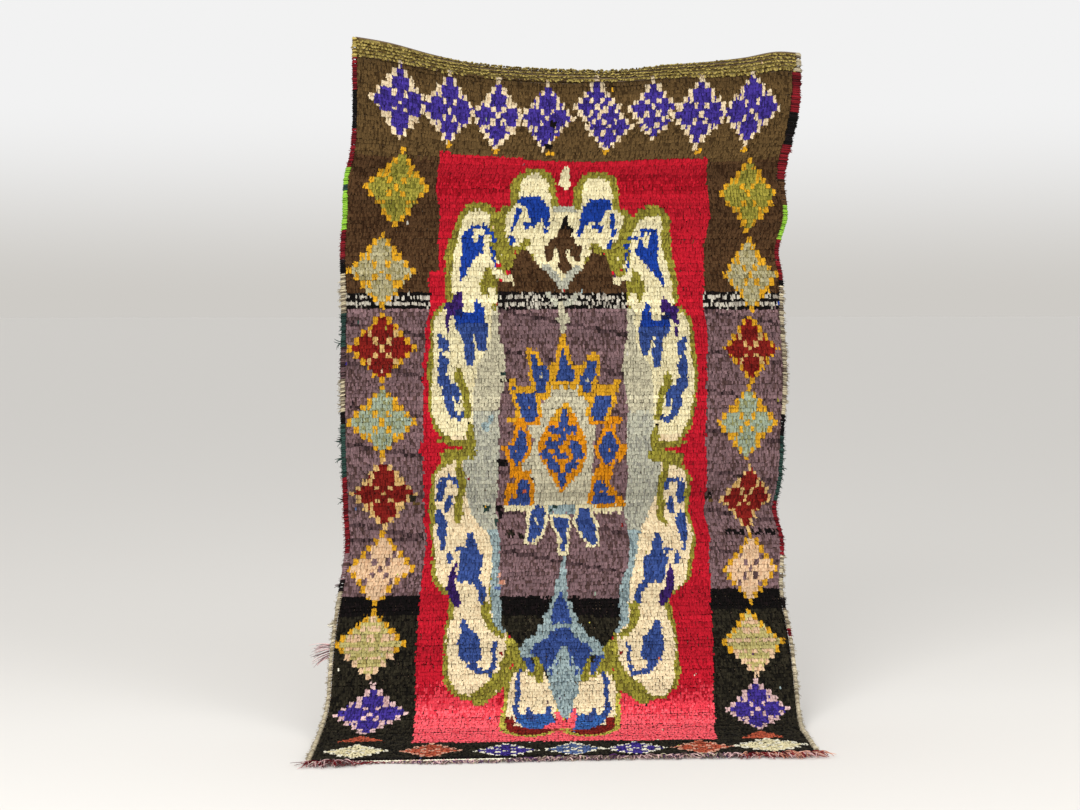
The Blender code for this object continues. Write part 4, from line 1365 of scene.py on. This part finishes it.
def buildEdge(sideName, side, table):
    chance = np.random.default_rng(20 + side)
    piece = windEdge(f"{sideName}_edge_wraps", side, table, chance)
    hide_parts("selvedge_left" if side < 0 else "selvedge_right")
    hairs = hairEdge(f"{sideName}_edge_hairs", side, table, chance)
    return piece, hairs


leftEdge = buildEdge("left", -1, leftEdgeYarns)
rightEdge = buildEdge("right", 1, rightEdgeYarns)
print("Edges overcast")


cord = {
    "twist": 0.014,
    "strandRadius": 0.0017,
    "apart": 0.0013,
    "stepsPerTwist": 8,
    "width": 0.006,
    "wornShare": 0.35,
    "paleUpTo": 0.02,  # pale wool left of here, a pale and a plum strand on the right
}


# Two wool strands twisted round each other along the lower end
def buildCord():
    chance = np.random.default_rng(31)
    turns = int(2 * halfCloth / cord["twist"])
    steps = turns * cord["stepsPerTwist"]
    across = np.linspace(-halfCloth + 0.003, halfCloth - 0.003, steps)
    point, along, down, out = clothFrame(across, np.zeros(steps))
    middle = point + down * (cloth["gap"] + cord["width"] / 2) + out * 0.0031
    angle = np.arange(steps) * 2 * math.pi / cord["stepsPerTwist"]
    paths, colors = [], []
    for strand in (0, 1):
        turned = angle + strand * math.pi
        offset = down * np.cos(turned)[:, None] + out * np.sin(turned)[:, None]
        paths.append(middle + offset * cord["apart"])
        worn = np.repeat(chance.random(turns), cord["stepsPerTwist"]) < cord["wornShare"]
        rightYarn, wornYarn = ("ecru", "pink") if strand else ("plum", "ecru")
        number = np.where(across < cord["paleUpTo"], yarnNumber["ivory"], yarnNumber[rightYarn])
        number[worn] = yarnNumber[wornYarn]
        colors.append(yarnColors(number, np.zeros(steps), chance))
    paths = np.stack(paths)
    liftOffFloor(paths, cord["strandRadius"])
    radii = cord["strandRadius"] * chance.normal(1, 0.05, paths.shape[:2])
    piece = buildYarns("twined_cord", paths, radii, np.stack(colors), 5, cordWool)
    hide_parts("end_cord")
    return piece


fringe = {
    "strands": 92,
    "yarnsPerStrand": 11,
    "steps": 6,
    "radius": 0.0019,
    "placeJitter": 0.0022,
    "swayJitter": 0.38,
    "rise": (0.0015, 0.0080),
    "lift": (0.05, 1.0),
    "pressedPlaces": (-0.85, -0.7, -0.3, -0.1),  # shares across between which it lies flatter
    "cornerFrom": 0.70,
}
# Yarns of the fringe in its middle and at its corners: upper limit of a random pick, yarn
fringeYarnShares = ((0.34, "mauve"), (0.60, "pink"), (0.78, "ecru"), (1, "plum"))
leftCornerShares = ((0.5, "darkRed"), (0.8, "mauve"), (1, "pink"))
rightCornerShares = ((0.5, "darkRed"), (0.8, "rustPale"), (1, "pink"))
# Length of the fringe's strands: place across as a share of the half width, length
fringeLengths = (
    (-1.00, 0.052), (-0.84, 0.050), (-0.78, 0.026), (-0.50, 0.034), (-0.10, 0.030), (0.40, 0.034),
    (0.66, 0.040), (0.78, 0.050), (1.00, 0.058),
)


def buildFringe():
    chance = np.random.default_rng(41)
    half = cloth["width"] / 2 - cloth["edgeWidth"] / 2
    pitch = 2 * half / (fringe["strands"] - 0.4)
    count = fringe["strands"] * fringe["yarnsPerStrand"]
    strand = np.arange(count) // fringe["yarnsPerStrand"]
    across = -half + (strand + 0.28) * pitch + chance.normal(0, fringe["placeJitter"], count)
    across = np.clip(across, -half, half)
    share = across / half
    length = readTable(fringeLengths, 1, share) * chance.uniform(0.50, 1.08, count)
    point, along, down, out = clothFrame(across, np.zeros(count))
    sway = 0.22 * np.sin(0.55 * strand) + 0.12 * np.sin(0.21 * strand + 1.0) + 0.25 * share ** 5
    sway = sway + chance.normal(0, fringe["swayJitter"], count)
    pressed = fringe["pressedPlaces"]
    rise = chance.uniform(*fringe["rise"], count) * np.interp(share, pressed, (1, 0.4, 0.4, 1))
    start = point + down * (cord["width"] + 0.0004) + out * rise[:, None]
    lift = chance.uniform(*fringe["lift"], count) * np.interp(share, pressed, (1, 0.3, 0.3, 1))

    def headingAt(part):
        turn = sway * (0.5 + 1.1 * part)
        return (down * np.cos(turn)[:, None] + along * np.sin(turn)[:, None]
                + out * (lift * (1 - 1.6 * part))[:, None])

    paths = growPaths(start, length, fringe["steps"], headingAt)
    liftOffFloor(paths, fringe["radius"] * 1.1)
    pick = chance.random(count)
    left, right = share < -fringe["cornerFrom"], share > fringe["cornerFrom"]
    number = yarnsByShare(pick, fringeYarnShares)
    number[left] = yarnsByShare(pick, leftCornerShares)[left]
    number[right] = yarnsByShare(pick, rightCornerShares)[right]
    colors = yarnColors(number, np.zeros(count), chance)
    taper = np.linspace(1.0, 0.4, fringe["steps"])
    radii = fringe["radius"] * chance.uniform(0.7, 1.15, count)[:, None] * taper[None]
    piece = buildYarns("fringe_yarns", paths, radii, colors, 3, frayedWool)
    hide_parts("end_fringe")
    return piece


tuft = {
    "at": 0.535,
    "strands": 7,
    "yarnsPerStrand": 5,
    "length": 0.052,
    "pitch": 0.0060,
    "radius": 0.0012,
    "steps": 7,
}


# Loose weft ends that stand out of the left edge
def buildTuft():
    chance = np.random.default_rng(51)
    count = tuft["strands"] * tuft["yarnsPerStrand"]
    strand = np.arange(count) // tuft["yarnsPerStrand"]
    point, along, down, out = clothFrame(np.full(count, -cloth["width"] / 2), np.full(count, tuft["at"]))
    outward = -along
    start = point + outward * 0.0012 + out * chance.uniform(0.004, 0.008, count)[:, None]
    start = start + down * (tuft["pitch"] * (strand - 3) + chance.normal(0, 0.001, count))[:, None]
    share = 2 * strand / (tuft["strands"] - 1) - 1
    length = tuft["length"] * chance.uniform(0.6, 1.05, count)
    wild = chance.normal(0, 0.18, count)

    def headingAt(part):
        turn = np.radians(12 + 20 * part + 16 * share) + wild * part
        heading = outward * np.cos(turn)[:, None] + down * np.sin(turn)[:, None]
        return heading + out * (0.15 * np.sin(5 * part + strand))[:, None]

    paths = growPaths(start, length, tuft["steps"], headingAt)
    number = yarnsByShare(chance.random(count), ((0.6, "mauve"), (1, "pink")))
    colors = yarnColors(number, np.zeros(count), chance)
    taper = np.linspace(1, 0.45, tuft["steps"])
    radii = tuft["radius"] * taper[None] * chance.uniform(0.7, 1.1, count)[:, None]
    piece = buildYarns("edge_tuft_yarns", paths, radii, colors, 3, frayedWool)
    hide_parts("edge_tuft")
    return piece


twinedCord = buildCord()
fringeYarns = buildFringe()
edgeTuft = buildTuft()
print("Cord, fringe and loose ends made")

shown = [*pileBands, groundWeave, *leftEdge, *rightEdge, twinedCord, fringeYarns, edgeTuft]
triangles = {piece.name: sum(len(face.vertices) - 2 for face in piece.data.polygons) for piece in shown}
print("Triangles:", triangles, "in all", sum(triangles.values()))
bpy.context.view_layer.update()
